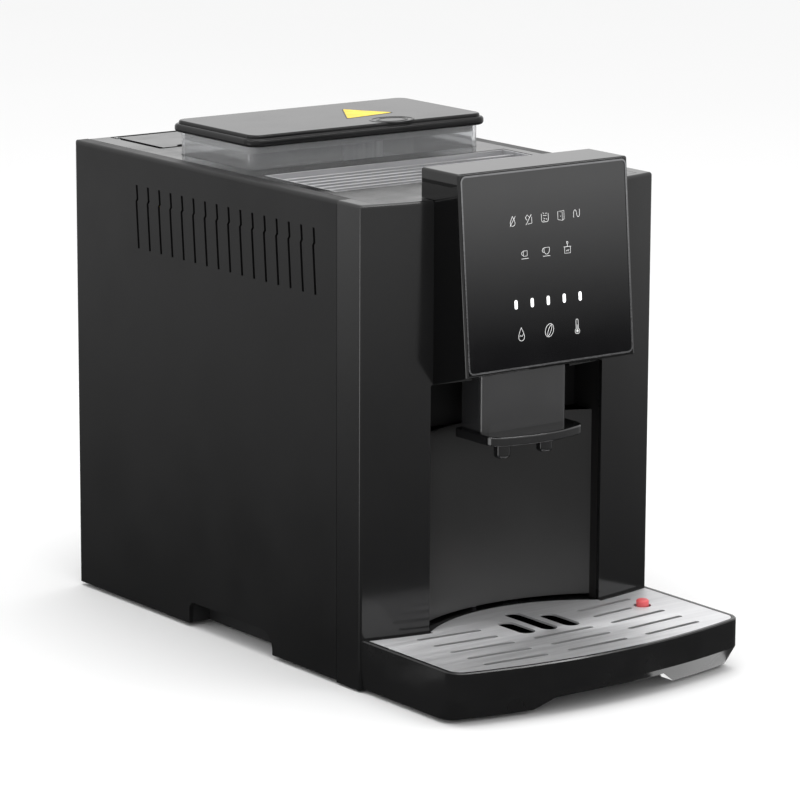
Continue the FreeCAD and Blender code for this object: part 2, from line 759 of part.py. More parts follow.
def head_shell():
    over = HEAD_OFF
    outer = side_prism(HEAD_HALF, [
        (deep(HEAD_BACK), high(HEAD_TOP)), (deep(-HEAD_TOP_OUT), high(HEAD_TOP)),
        (deep(-HEAD_LOW_OUT), high(HEAD_LOW)), (deep(0), high(HEAD_ROOT)),
        (deep(0), high(BODY_H) + over), (deep(HEAD_BACK), high(BODY_H) + over)])

    def outside(e):
        m = middle(e)
        upper = m.z > high(BODY_H) + 1.0
        front = m.y < deep(-HEAD_TOP_OUT) + 0.5
        return (upper and m.y < deep(HEAD_BACK) + 0.01) or front

    outer = soften(outer, HEAD_EDGE_R, outside)
    inner = side_prism(HEAD_HALF - WALL, [
        (deep(HEAD_BACK) - WALL, high(HEAD_TOP) - WALL), (deep(-HEAD_TOP_OUT) + FACE_T, high(HEAD_TOP) - WALL),
        (deep(-HEAD_LOW_OUT) + FACE_T, high(HEAD_LOW) + WALL), (deep(0), high(HEAD_ROOT) + WALL),
        (deep(0), high(BODY_H) - WALL), (deep(HEAD_BACK) - WALL, high(BODY_H) - WALL)])
    shell = outer.cut(inner)
    shell = shell.cut(front_plan(-over, high(HEAD_ROOT) - FAR, high(BODY_H) + over, FAR))
    pocket = plate(GLASS_HALF_X + BEZEL_W + POCKET_FREE, GLASS_HALF_Z + BEZEL_W + POCKET_FREE, -WALL,
                   GLASS_T + SEAM, GLASS_R + BEZEL_W)
    window = plate(GLASS_HALF_X - FRAME_IN, GLASS_HALF_Z - FRAME_IN, -WALL, FACE_T + WALL, GLASS_R)
    shell = shell.cut(on_panel(pocket)).cut(on_panel(window))
    gap = SPOUT_HALF + SPOUT_WAY
    return shell.cut(block(-gap, gap, deep(-SPOUT_FRONT) - 1, deep(0), high(HEAD_ROOT) - 2 * WALL,
                           high(HEAD_LOW) + 3 * WALL))


def head_bezel():
    ring = plate(GLASS_HALF_X + BEZEL_W, GLASS_HALF_Z + BEZEL_W, -BEZEL_PROUD, GLASS_T, GLASS_R + BEZEL_W)
    hole = plate(GLASS_HALF_X + BEZEL_FREE, GLASS_HALF_Z + BEZEL_FREE, -WALL, GLASS_T + WALL, GLASS_R)
    return on_panel(ring.cut(hole))


def control_glass():
    return on_panel(plate(GLASS_HALF_X, GLASS_HALF_Z, 0.0, GLASS_T, GLASS_R))


def control_board():
    inset = FRAME_IN + BOARD_IN
    return on_panel(plate(GLASS_HALF_X - inset, GLASS_HALF_Z - inset, GLASS_T + SEAM,
                          GLASS_T + SEAM + BOARD_T, GLASS_R))


# ------------------------------------------------------------------ coffee outlet
CORE_FREE = 0.1         # gap between the cover and the body inside it
CORE_SHORT = 2.0        # body below the cover's top
DUCT_R = FEED_R + 1.0
WAY_LOW = 5.0           # floor of the channels above the lip


def spout_plan(inset, z0, z1):
    half = SPOUT_HALF - inset
    front = deep(-SPOUT_FRONT) + inset
    body = block(-half, half, front, deep(SPOUT_BACK), z0, z1)
    radius = SPOUT_R - inset
    return soften(body, radius, lambda e: along(e, "z") and middle(e).y < front + 1.0)


def spout_cover():
    z0 = high(SPOUT_LOW)
    z1 = z0 + SPOUT_H
    return spout_plan(0.0, z0, z1).cut(spout_plan(SPOUT_SKIN, z0 - 1, z1 + 1))


def spout_lip():
    z0 = high(SPOUT_LOW - LIP_T)
    lip = face_of(V(-LIP_HALF, deep(LIP_BACK), z0), V(-LIP_HALF, deep(-LIP_CORNER), z0),
                  (V(0, deep(-LIP_FRONT), z0), V(LIP_HALF, deep(-LIP_CORNER), z0)),
                  V(LIP_HALF, deep(LIP_BACK), z0)).extrude(V(0, 0, LIP_T))
    lip = soften(lip, LIP_R, lambda e: along(e, "z") and middle(e).y < deep(-LIP_CORNER) + 1.0)
    return soften(lip, LIP_EDGE_R, lambda e: not along(e, "z") and middle(e).y < deep(0))


def spout_body():
    z0 = high(SPOUT_LOW)
    core = spout_plan(SPOUT_SKIN + CORE_FREE, z0, z0 + SPOUT_H - CORE_SHORT)
    body = core.fuse(spout_lip()).removeSplitter()
    way = NOZZLE_WAY / 2
    way_low = z0 + WAY_LOW
    way_top = way_low + NOZZLE_WAY
    duct = post(0, deep(-FEED_Y), way_low - 1, z0 + SPOUT_H + 1, DUCT_R)
    ways = block(-NOZZLE_X, NOZZLE_X, deep(-NOZZLE_Y) - way, deep(-NOZZLE_Y) + way, way_low, way_top)
    ways = ways.fuse(block(-way, way, deep(-NOZZLE_Y), deep(-FEED_Y), way_low, way_top))
    body = body.cut(duct).cut(ways)
    for x in (-NOZZLE_X, NOZZLE_X):
        body = body.cut(post(x, deep(-NOZZLE_Y), z0 - LIP_T - 1, way_top, NOZZLE_BORE))
    return body


def spout_nozzles():
    tips = []
    top = high(SPOUT_LOW - LIP_T)
    for x in (-NOZZLE_X, NOZZLE_X):
        tip = post(x, deep(-NOZZLE_Y), high(NOZZLE_LOW), top, NOZZLE_R)
        tip = soften(tip, NOZZLE_TIP_R, lambda e: abs(middle(e).z - high(NOZZLE_LOW)) < 0.01)
        tips.append(tip.cut(post(x, deep(-NOZZLE_Y), high(NOZZLE_LOW) - 1, top + 1, NOZZLE_BORE)))
    return Part.makeCompound(tips)


# ------------------------------------------------------------------ drip tray
POOL_RISE = 2.0         # floor of the tongue above the basin's
POOL_AHEAD = 6.0        # tongue's hollow running into the basin
DRAIN_RISE = 4.0
DRAIN_HALF = BAY_HALF - 14.0
DRAIN_FRONT = -GRID_BACK_CORNER - 12.0
DRAIN_BACK = -2.0
TONGUE_ROOT = 4.0       # tongue running into the tray
ARCH_SIDE = 3.0
SHORT_SLOT = 0.72       # slot beside the float, as a share of the others
GRID_DRAINS = ((-DRAIN_PITCH, 18.5, 52.0), (0.0, 1.5, 53.0), (DRAIN_PITCH, 17.5, 54.0))
FLOAT_EDGE_R = 1.6
RAIL_OUT = 2.0          # tongue's edge to the rail
RAIL_W = 10.0
RAIL_PAST = 3.0


def tray_wire(side, front, z):
    """Tray's outline in plan at height z, moved in by side and front."""
    half = TRAY_HALF - side
    nose = TRAY_OUT - front
    sag = TRAY_OUT - TRAY_CORNER
    bow = (TRAY_HALF ** 2 + sag ** 2) / (2 * sag)
    radius = max(TRAY_R - side, 1.0)
    centre_y = bow - nose
    corner_x = half - radius
    corner_y = centre_y - math.sqrt((bow - radius) ** 2 - corner_x ** 2)
    dx = corner_x / (bow - radius)
    dy = (corner_y - centre_y) / (bow - radius)
    turn = V(dx + 1, dy, 0)
    turn.normalize()

    def at(x, y):
        return V(x, deep(y), z)

    def corner(s):
        on_bow = at(s * dx * bow, centre_y + dy * bow)
        mid = at(s * (corner_x + radius * turn.x), corner_y + radius * turn.y)
        on_side = at(s * half, corner_y)
        return on_bow, mid, on_side

    left_bow, left_mid, left_side = corner(-1)
    right_bow, right_mid, right_side = corner(1)
    back = FRONT_D
    edges = [
        Part.LineSegment(at(-half, back), left_side).toShape(),
        Part.Arc(left_side, left_mid, left_bow).toShape(),
        Part.Arc(left_bow, at(0, -nose), right_bow).toShape(),
        Part.Arc(right_bow, right_mid, right_side).toShape(),
        Part.LineSegment(right_side, at(half, back)).toShape(),
        Part.LineSegment(at(half, back), at(-half, back)).toShape(),
    ]
    return Part.Wire(edges)


def tray_prism(inset, z0, z1):
    return Part.Face(tray_wire(inset, inset, z0)).extrude(V(0, 0, z1 - z0))


def ahead_of_face(gap):
    """Everything the front frame keeps the tray out of."""
    return front_plan(-gap, high(-FRONT_DROP) - FOOT_H, high(TRAY_H) + WALL, FAR)


def grid_plan(grow, z0, z1):
    """Grid's outline in plan, widened by grow, as a prism."""
    sheet = tray_prism(TRAY_RIM - grow, z0, z1)
    corner = -GRID_BACK_CORNER + grow
    half = BAY_HALF - 1.0 + grow
    ahead = deep(-FACE_BOW - 2 * TRAY_RIM)
    hollow = face_of(V(-half, ahead, z0), V(-half, deep(corner), z0),
                     (V(0, deep(GRID_BACK) + grow, z0), V(half, deep(corner), z0)),
                     V(half, ahead, z0)).extrude(V(0, 0, z1 - z0))
    front = sheet.cut(front_plan(grow - TRAY_RIM, z0 - 1, z1 + 1, FAR))
    return front.fuse(hollow).removeSplitter()


def drip_tray():
    z0 = high(0)
    bevel = high(TRAY_BEVEL_H)
    top = high(TRAY_H)
    upper = tray_prism(0.0, bevel, top - TRAY_EDGE)
    rim = Part.makeLoft([tray_wire(0.0, 0.0, top - TRAY_EDGE), tray_wire(TRAY_EDGE, TRAY_EDGE, top)], True, True)
    lower = Part.makeLoft([tray_wire(TRAY_SIDE_BEVEL, TRAY_BEVEL, z0), tray_wire(0.0, 0.0, bevel)], True, True)
    outer = upper.fuse(lower).fuse(rim).cut(ahead_of_face(SEAM))
    outer = outer.cut(block(-FAR, FAR, deep(0), FAR, 0, FAR))
    tongue = block(-TONGUE_HALF, TONGUE_HALF, deep(-FACE_BOW) - TONGUE_ROOT, deep(TONGUE_D), high(TONGUE_LOW),
                   top)
    outer = outer.fuse(tongue).removeSplitter()

    basin = tray_prism(TRAY_RIM + TRAY_WALL, high(TRAY_FLOOR), top + 1)
    basin = basin.cut(tray_prism(0.0, z0, bevel).cut(tray_prism(TRAY_BEVEL + TRAY_WALL, z0, bevel)))
    basin = basin.cut(ahead_of_face(TRAY_RIM + TRAY_WALL))
    pool_half = TONGUE_HALF - TRAY_WALL
    pool_back = deep(TONGUE_D) - TRAY_WALL
    pool_floor = high(TRAY_FLOOR) + POOL_RISE
    pool_front = deep(-FACE_BOW) - TRAY_RIM - TRAY_WALL - POOL_AHEAD
    basin = basin.fuse(block(-pool_half, pool_half, pool_front, pool_back, pool_floor, top - TRAY_WALL))
    arch_half = ARCH_LOW_HALF + ARCH_SIDE
    basin = basin.cut(block(-arch_half, arch_half, -FAR, deep(ARCH_D - TRAY_OUT) + TRAY_WALL, z0,
                            high(ARCH_H) + TRAY_WALL))
    tray = outer.cut(basin)
    tray = tray.cut(block(-pool_half, pool_half, deep(CATCH_D), pool_back, pool_floor, top + 1))
    tray = tray.cut(block(-DRAIN_HALF, DRAIN_HALF, deep(DRAIN_FRONT), deep(DRAIN_BACK),
                          high(TRAY_FLOOR) + DRAIN_RISE, top + 1))
    tray = tray.cut(grid_plan(SEAM, top - GRID_T - GRID_BELOW - GRID_UNDER, top + 1))
    arch = face_of(V(-ARCH_LOW_HALF, -FAR, z0 - 1), V(-ARCH_TOP_HALF, -FAR, high(ARCH_H)),
                   V(ARCH_TOP_HALF, -FAR, high(ARCH_H)), V(ARCH_LOW_HALF, -FAR, z0 - 1))
    arch = arch.extrude(V(0, FAR + deep(ARCH_D - TRAY_OUT), 0))
    return tray.cut(arch)


def drip_grid():
    z1 = high(TRAY_H) - GRID_BELOW
    z0 = z1 - GRID_T
    grid = grid_plan(0.0, z0, z1)
    cuts = []
    for row, d in enumerate(GRID_ROWS):
        for side in (-1, 1):
            length = GRID_SLOT_L
            x = side * GRID_SLOT_X
            if row == 1 and side > 0:
                length = GRID_SLOT_L * SHORT_SLOT
                x = x - (GRID_SLOT_L - length) / 2
            cuts.append(capsule(x, deep(-d), length, GRID_SLOT_W, z0 - 1, z1 + 1, side * GRID_SLOT_SKEW))
        if row >= 2:
            cuts.append(capsule(0, deep(-d - GRID_MID_FORWARD), GRID_SLOT_L, GRID_SLOT_W, z0 - 1, z1 + 1))
    for x, d0, d1 in GRID_DRAINS:
        slot = capsule(x, deep(-(d0 + d1) / 2), d1 - d0, DRAIN_W, z0 - 1, z1 + 1, 90.0)
        cuts.append(slot)
    cuts.append(post(FLOAT_X, deep(-FLOAT_Y), z0 - 1, z1 + 1, FLOAT_HOLE_R))
    return grid.cut(Part.makeCompound(cuts))


def tray_float():
    z0 = high(TRAY_FLOOR) + TOUCH
    base = post(FLOAT_X, deep(-FLOAT_Y), z0, z0 + FLOAT_BASE_H, FLOAT_BASE_R)
    stem = post(FLOAT_X, deep(-FLOAT_Y), z0 + FLOAT_BASE_H, high(TRAY_H) + FLOAT_PROUD, FLOAT_R)
    whole = base.fuse(stem).removeSplitter()
    return soften(whole, FLOAT_EDGE_R, lambda e: abs(middle(e).z - high(TRAY_H) - FLOAT_PROUD) < 0.01)


def tray_runners():
    rails = []
    for side in (-1, 1):
        a = side * (TONGUE_HALF - RAIL_OUT - RAIL_W)
        b = side * (TONGUE_HALF - RAIL_OUT)
        rails.append(block(min(a, b), max(a, b), RUNNER_FRONT, deep(TONGUE_D) + RAIL_PAST, high(FLOOR_T),
                           high(TONGUE_LOW) - TOUCH))
    return Part.makeCompound(rails)


# ------------------------------------------------------------------ deck pieces
SHELF_BELOW = 0.3       # shelf's rim under the deck's face
SHELF_T = 2.0
RIB_BELOW = 2.2
RIB_FIRST = 8.0
RIB_SET = 1.0           # ribs let into the rim and floor


def cup_shelf():
    z1 = high(BODY_H)
    z0 = z1 - SHELF_DEEP
    x = SHELF_HALF - SEAM
    y0 = deep(SHELF_FRONT) + SEAM
    y1 = deep(SHELF_BACK) - SEAM
    t = SHELF_T
    dish = block(-x, x, y0, y1, z0, z1 - SHELF_BELOW)
    dish = dish.cut(block(-x + t, x - t, y0 + t, y1 - t, z0 + t, z1 + 1))
    count = int((SHELF_BACK - SHELF_FRONT - RIB_FIRST) / RIB_PITCH)
    for i in range(count):
        y = y0 + RIB_FIRST + i * RIB_PITCH
        dish = dish.fuse(block(-x + RIB_SET, x - RIB_SET, y, y + RIB_W, z0 + RIB_SET, z1 - RIB_BELOW))
    return dish.removeSplitter()


def frustum(half_x, y0, y1, z1, neck, z0):
    """Four-sided funnel: a rectangle above, a square over the grinder below."""
    gy = deep(GRIND_D)
    upper = [V(-half_x, y0, z1), V(half_x, y0, z1), V(half_x, y1, z1), V(-half_x, y1, z1)]
    x0 = GRIND_X - neck
    x1 = GRIND_X + neck
    lower = [V(x0, gy - neck, z0), V(x1, gy - neck, z0), V(x1, gy + neck, z0), V(x0, gy + neck, z0)]
    wires = [Part.makePolygon(ring + [ring[0]]) for ring in (lower, upper)]
    return Part.makeLoft(wires, True, True)


def hopper_bin():
    y0 = deep(HOPPER_FRONT)
    y1 = deep(HOPPER_BACK)
    shoulder = high(HOPPER_SHOULDER)
    neck_top = high(HOPPER_NECK_TOP)
    top = high(HOPPER_TOP)
    low = high(GRIND_TOP) + TOUCH
    w = HOPPER_WALL
    outer = pad(-HOPPER_HALF, HOPPER_HALF, y0, y1, shoulder, top, HOPPER_R)
    outer = outer.fuse(frustum(HOPPER_HALF - HOPPER_R, y0 + HOPPER_R, y1 - HOPPER_R, shoulder, NECK_HALF, neck_top))
    neck = NECK_HALF
    gy = deep(GRIND_D)
    outer = outer.fuse(block(GRIND_X - neck, GRIND_X + neck, gy - neck, gy + neck, low, neck_top))
    inner = pad(-HOPPER_HALF + w, HOPPER_HALF - w, y0 + w, y1 - w, shoulder + w, top + 1, HOPPER_R - w)
    inner = inner.fuse(frustum(HOPPER_HALF - HOPPER_R - w, y0 + HOPPER_R + w, y1 - HOPPER_R - w, shoulder + w,
                               neck - w, neck_top))
    bore = neck - w
    inner = inner.fuse(block(GRIND_X - bore, GRIND_X + bore, gy - bore, gy + bore, low - 1, neck_top + 1))
    return outer.cut(inner).removeSplitter()


LID_RIM_R = 2.4
LID_CAP_R = 1.4
LID_JOIN = 2.0          # cap running down into the rim
SEAL_T = 2.2


def hopper_lid():
    rim_low = high(HOPPER_TOP) + TOUCH
    rim_top = rim_low + LID_RIM
    top = high(LID_TOP)
    rim = pad(-LID_HALF, LID_HALF, deep(LID_FRONT), deep(LID_BACK), rim_low, rim_top, LID_R)
    rim = soften(rim, LID_RIM_R, lambda e: not along(e, "z"))
    step = LID_STEP
    cap = pad(-LID_HALF + step, LID_HALF - step, deep(LID_FRONT) + step, deep(LID_BACK) - step,
              rim_top - LID_JOIN, top, LID_R - step)
    cap = soften(cap, LID_CAP_R, lambda e: not along(e, "z") and middle(e).z > rim_top)
    lid = rim.fuse(cap)
    hollow = pad(-HOPPER_HALF + HOPPER_WALL, HOPPER_HALF - HOPPER_WALL, deep(HOPPER_FRONT) + HOPPER_WALL,
                 deep(HOPPER_BACK) - HOPPER_WALL, rim_low - 1, top - LID_SKIN, HOPPER_R - HOPPER_WALL)
    return lid.cut(hollow).removeSplitter()


def lid_seal():
    """Soft ring that hangs from the lid into the bin."""
    gap = HOPPER_WALL + SLIDE
    z0 = high(HOPPER_TOP) - SEAL_H
    z1 = high(LID_TOP) - LID_SKIN
    ring = pad(-HOPPER_HALF + gap, HOPPER_HALF - gap, deep(HOPPER_FRONT) + gap, deep(HOPPER_BACK) - gap, z0, z1,
               HOPPER_R - HOPPER_WALL)
    gap = gap + SEAL_T
    return ring.cut(pad(-HOPPER_HALF + gap, HOPPER_HALF - gap, deep(HOPPER_FRONT) + gap, deep(HOPPER_BACK) - gap,
                        z0 - 1, z1 + 1, HOPPER_R - HOPPER_WALL - 1.0))


# ------------------------------------------------------------------ water tank
HINGE_Y = deep(TANK_LID_BACK) - KNUCKLE_R
HINGE_Z = high(BODY_H) - KNUCKLE_R
HINGE_PIN_R = 0.8
EAR_IN = TANK_LID_HALF + SLIDE
EAR_OUT = TANK_HALF + 0.5
EAR_FRONT = 3.0
EAR_BACK = KNUCKLE_R + 0.6
EAR_SET = 1.0
TANK_R = 6.0
TANK_RIM = 1.0          # rim wider than the tank
TANK_RIM_H = 3.0
VALVE_R = OUTLET_R - 4.0
VALVE_H = 8.0
LID_PIN_IN = 7.8
LID_BORE_IN = 8.0
LID_PIN_OUT = TANK_HALF + 0.3
NOTCH_X = -62.0
NOTCH_L = 34.0
NOTCH_W = 12.0
NOTCH_DEEP = 1.6
SEAT_HALF = 96.0
SEAT_H = 20.0


def water_tank():
    top = high(TANK_TOP)
    low = high(TANK_LOW)
    w = TANK_WALL
    front = deep(TANK_FRONT)
    back = deep(TANK_BACK)
    rim = TANK_RIM
    tank = pad(-TANK_HALF, TANK_HALF, front, back, low, top, TANK_R)
    tank = tank.fuse(pad(-TANK_HALF - rim, TANK_HALF + rim, front - rim, back + rim, top - TANK_RIM_H, top,
                         TANK_R - rim))
    tank = tank.cut(pad(-TANK_HALF + w, TANK_HALF - w, front + w, back - w, low + w, top + 1, TANK_R - 2 * rim))
    for side in (-1, 1):
        a = side * EAR_IN
        b = side * EAR_OUT
        tank = tank.fuse(block(min(a, b), max(a, b), HINGE_Y - EAR_FRONT, HINGE_Y + EAR_BACK, top - EAR_SET,
                               HINGE_Z + KNUCKLE_R))
    bore = rod_x(-TANK_HALF - WALL, TANK_HALF + WALL, HINGE_Y, HINGE_Z, HINGE_PIN_R + PIN_FIT)
    tank = tank.cut(bore)
    outlet = post(OUTLET_X, deep(OUTLET_D), low - 1, low + w + 1, VALVE_R)
    return tank.cut(outlet).removeSplitter()


def tank_lid():
    z1 = high(BODY_H)
    z0 = HINGE_Z - KNUCKLE_R
    lid = block(-TANK_LID_HALF, TANK_LID_HALF, deep(TANK_LID_FRONT), HINGE_Y, z0, z1)
    lid = lid.fuse(rod_x(-TANK_LID_HALF, TANK_LID_HALF, HINGE_Y, HINGE_Z, KNUCKLE_R))
    for side in (-1, 1):
        a = side * TANK_LID_HALF
        b = side * (TANK_LID_HALF - LID_BORE_IN)
        lid = lid.cut(rod_x(min(a, b), max(a, b), HINGE_Y, HINGE_Z, HINGE_PIN_R + PIN_FIT))
    notch = capsule(NOTCH_X, deep(TANK_LID_FRONT), NOTCH_L, NOTCH_W, z1 - NOTCH_DEEP, z1 + 1)
    return lid.cut(notch).removeSplitter()


def tank_lid_pins():
    pins = []
    for side in (-1, 1):
        a = side * (TANK_LID_HALF - LID_PIN_IN)
        b = side * LID_PIN_OUT
        pins.append(rod_x(min(a, b), max(a, b), HINGE_Y, HINGE_Z, HINGE_PIN_R))
    return Part.makeCompound(pins)


def tank_valve():
    low = high(TANK_LOW)
    valve = post(OUTLET_X, deep(OUTLET_D), low - VALVE_H, low, OUTLET_R)
    return valve.cut(post(OUTLET_X, deep(OUTLET_D), low - VALVE_H - 1, low + 1, VALVE_R))


def tank_seat():
    top = high(TANK_LOW) - TOUCH
    seat = block(-SEAT_HALF, SEAT_HALF, deep(BULKHEAD_D) + INNER_T + SLIDE, REAR_IN, top - SEAT_H, top)
    seat = seat.cut(post(OUTLET_X, deep(OUTLET_D), top - VALVE_H - 1, top + 1, OUTLET_R + SLIDE))
    seat = seat.cut(post(OUTLET_X, deep(OUTLET_D), top - SEAT_H - 1, top, PIPE_R - 0.6))
    for x, z in screw_places():
        seat = seat.cut(rod_y(x, REAR_IN - SCREW_L, REAR_IN + WALL, z, SCREW_SHANK_R + PIN_FIT))
    return seat


# ------------------------------------------------------------------ inner walls
DECK_FRONT = 150.0
DECK_HALF = 62.0
CHUTE_X = GRIND_X - 11.0
CHUTE_W = 34.0


def inner_frame():
    """Wall down the middle, with the deck that carries the grinder."""
    front = deep(BAY_STRAIGHT + BAY_SAG + BAY_WALL) + SEAM
    back = deep(BULKHEAD_D) - 0.2
    deck = high(GRIND_DECK)
    wall = block(INNER_X, INNER_X + INNER_T, front, back, high(FLOOR_T), deck - INNER_T)
    wall = wall.fuse(block(GRIND_X - DECK_HALF, GRIND_X + DECK_HALF, deep(DECK_FRONT), back, deck - INNER_T, deck))
    hole = post(GRIND_X, deep(GRIND_D), deck - INNER_T - 1, deck + 1, BURR_SHAFT_R + 2.0)
    tongue_way = block(-FAR, FAR, front - 1, deep(TONGUE_D) + SEAM, high(0), high(TRAY_H) + SEAM)
    chute_way = block(CHUTE_X - SEAM, CHUTE_X + CHUTE_W + SEAM, deep(DECK_FRONT) - 1, deep(GRIND_D) - GRIND_R,
                      deck - INNER_T - 1, deck + 1)
    return wall.cut(hole).cut(tongue_way).cut(chute_way).removeSplitter()


def rear_bulkhead():
    return block(-BASE_HALF, BASE_HALF, deep(BULKHEAD_D), deep(BULKHEAD_D) + INNER_T, high(BULKHEAD_LOW),
                 high(BODY_H) - WALL - SEAM)


# ------------------------------------------------------------------ grinder
BURR_LOW = 236.0
GRINDER_FLOOR = 4.0
EXIT_HALF = 9.0
EXIT_LOW = 5.0
EXIT_TOP = 17.0
SHAFT_DOWN = 14.0       # shaft below the grinder's deck
TEETH = 12
TOOTH_L = 6.0
TOOTH_HALF = 1.2
TOOTH_DEEP = 2.0
CONE_LOW_R = BURR_R - 8.0
CONE_TOP_R = 9.0
CONE_H = 5.0


def grinder_body():
    gx = GRIND_X
    gy = deep(GRIND_D)
    body = post(gx, gy, high(GRIND_DECK), high(GRIND_TOP), GRIND_R)
    body = body.cut(post(gx, gy, high(GRIND_DECK) + GRINDER_FLOOR, high(GRIND_TOP) + 1, GRIND_R - GRINDER_WALL))
    body = body.cut(post(gx, gy, high(GRIND_DECK) - 1, high(GRIND_TOP), BURR_SHAFT_R + PIN_FIT))
    return body.cut(block(gx - EXIT_HALF, gx + EXIT_HALF, gy - FAR, gy, high(GRIND_DECK) + EXIT_LOW,
                          high(GRIND_DECK) + EXIT_TOP))


def lower_burr():
    gx = GRIND_X
    gy = deep(GRIND_D)
    z0 = high(BURR_LOW)
    burr = post(gx, gy, z0, z0 + BURR_T, BURR_R)
    burr = burr.fuse(post(gx, gy, high(GRIND_DECK) - INNER_T - SHAFT_DOWN, z0, BURR_SHAFT_R))
    cone = Part.makeCone(CONE_LOW_R, CONE_TOP_R, CONE_H, V(gx, gy, z0 + BURR_T))
    burr = burr.fuse(cone).removeSplitter()
    teeth = []
    for i in range(TEETH):
        tooth = block(gx + BURR_R - TOOTH_L, gx + BURR_R + 1, gy - TOOTH_HALF, gy + TOOTH_HALF,
                      z0 + BURR_T - TOOTH_DEEP, z0 + BURR_T + 1)
        tooth.rotate(V(gx, gy, 0), V(0, 0, 1), i * 360.0 / TEETH)
        teeth.append(tooth)
    return burr.cut(Part.makeCompound(teeth))


UPPER_LOW = BURR_LOW + BURR_T + 0.6
UPPER_H = 9.0
UPPER_CONE_LOW_R = BURR_R - 5.0
UPPER_CONE_TOP_R = 17.0


def upper_burr():
    gx = GRIND_X
    gy = deep(GRIND_D)
    ring = post(gx, gy, high(UPPER_LOW), high(UPPER_LOW) + UPPER_H, GRIND_R - GRINDER_WALL - SLIDE)
    hollow = Part.makeCone(UPPER_CONE_LOW_R, UPPER_CONE_TOP_R, UPPER_H + 2, V(gx, gy, high(UPPER_LOW) - 1))
    return ring.cut(hollow)


KNOB_EDGE_R = 1.5
FLUTES = 12
FLUTE_R = 2.0
SPOKES = 3
SPOKE_L = BURR_R - 2.0
SPOKE_HALF = 2.0
SPOKE_H = 4.0


def grind_knob():
    gx = GRIND_X
    gy = deep(GRIND_D)
    spoke_z = high(UPPER_LOW) + UPPER_H
    knob = post(gx, gy, high(KNOB_LOW), high(KNOB_TOP), KNOB_R)
    knob = soften(knob, KNOB_EDGE_R, lambda e: abs(middle(e).z - high(KNOB_TOP)) < 0.01)
    flutes = []
    for i in range(FLUTES):
        flute = post(gx + KNOB_R + FLUTE_R / 2, gy, high(KNOB_LOW) - 1, high(KNOB_TOP) + 1, FLUTE_R)
        flute.rotate(V(gx, gy, 0), V(0, 0, 1), i * 360.0 / FLUTES)
        flutes.append(flute)
    knob = knob.cut(Part.makeCompound(flutes))
    knob = knob.fuse(post(gx, gy, spoke_z, high(KNOB_LOW), STEM_R))
    for i in range(SPOKES):
        spoke = block(gx, gx + SPOKE_L, gy - SPOKE_HALF, gy + SPOKE_HALF, spoke_z, spoke_z + SPOKE_H)
        spoke.rotate(V(gx, gy, 0), V(0, 0, 1), i * 360.0 / SPOKES)
        knob = knob.fuse(spoke)
    return knob.removeSplitter()


MOTOR_EDGE_R = 3.0
MOTOR_BORE = SHAFT_DOWN + 1.0
CHUTE_T = 2.0
CHUTE_TOP = 15.0        # chute above the grinder's deck
CHUTE_MOUTH = 16.0


def grinder_motor():
    top = high(GRIND_DECK) - INNER_T - TOUCH
    gx = GRIND_X
    gy = deep(GRIND_D)
    can = post(gx, gy, top - MOTOR_H, top, MOTOR_R)
    can = soften(can, MOTOR_EDGE_R, lambda e: abs(middle(e).z - top + MOTOR_H) < 0.01)
    return can.cut(post(gx, gy, top - MOTOR_BORE, top + 1, BURR_SHAFT_R + PIN_FIT))


def grounds_chute():
    """Sloping duct from the grinder to the brewing chamber."""
    t = CHUTE_T
    top = high(GRIND_DECK) + CHUTE_TOP + t
    rim = high(BREW_MID + CHAMBER_H) + t / 2
    start = deep(GRIND_D) - GRIND_R - SEAM
    end = deep(BREW_D) + CHAMBER_R + WALL
    run = [(start, top), (start, top - CHUTE_MOUTH), (end, rim), (end, rim + CHUTE_MOUTH)]
    corners = [V(CHUTE_X, y, z) for y, z in run]
    duct = face_of(corners[0], *corners[1:]).extrude(V(CHUTE_W, 0, 0))
    bore = [V(CHUTE_X + t, y + s, z + h) for (y, z), s, h in zip(run, (1, 1, -1, -1), (-t, t, t, -t))]
    return duct.cut(face_of(bore[0], *bore[1:]).extrude(V(CHUTE_W - 2 * t, 0, 0)))


# ------------------------------------------------------------------ brewer
FRAME_X0 = INNER_X + INNER_T + SEAM
FRAME_X1 = 88.0
FRAME_HALF_D = 38.0
HEAD_CLEAR = 8.0        # upper piston above the chamber
HEAD_H = 10.0
HEAD_STEM_R = 9.0
PISTON_BELOW = 5.0      # piston at rest, under the chamber
NUT_CLEAR = 2.0
NUT_R = 8.0
ARM_H = 6.0
ARM_OUT = 7.0
SCREW_FOOT = 0.5
SCREW_PAST = 3.0        # screw's end above the frame
SCREW_FLAT = 0.8
BREW_MOTOR_R = 15.0
BREW_MOTOR_H = 28.0
BREW_MOTOR_EDGE_R = 2.0


def brew_frame():
    y0 = deep(BREW_D - FRAME_HALF_D)
    y1 = deep(BREW_D + FRAME_HALF_D)
    t = BREW_PLATE
    frame = block(FRAME_X0, FRAME_X0 + t, y0, y1, high(BREW_LOW), high(BREW_TOP))
    for z in (BREW_LOW, BREW_MID - t, BREW_TOP - t):
        frame = frame.fuse(block(FRAME_X0, FRAME_X1, y0, y1, high(z), high(z) + t))
    frame = frame.cut(post(BREW_X, deep(BREW_D), high(BREW_MID) - t - 1, high(BREW_MID) + 1, PISTON_R + 1.0))
    bore = post(SCREW_X, deep(BREW_D), high(BREW_LOW) - 1, high(BREW_TOP) + 1, SCREW_R + PIN_FIT)
    return frame.cut(bore).removeSplitter()


def brew_chamber():
    z0 = high(BREW_MID)
    chamber = post(BREW_X, deep(BREW_D), z0, z0 + CHAMBER_H, CHAMBER_R)
    return chamber.cut(post(BREW_X, deep(BREW_D), z0 - 1, z0 + CHAMBER_H + 1, PISTON_R + SLIDE))


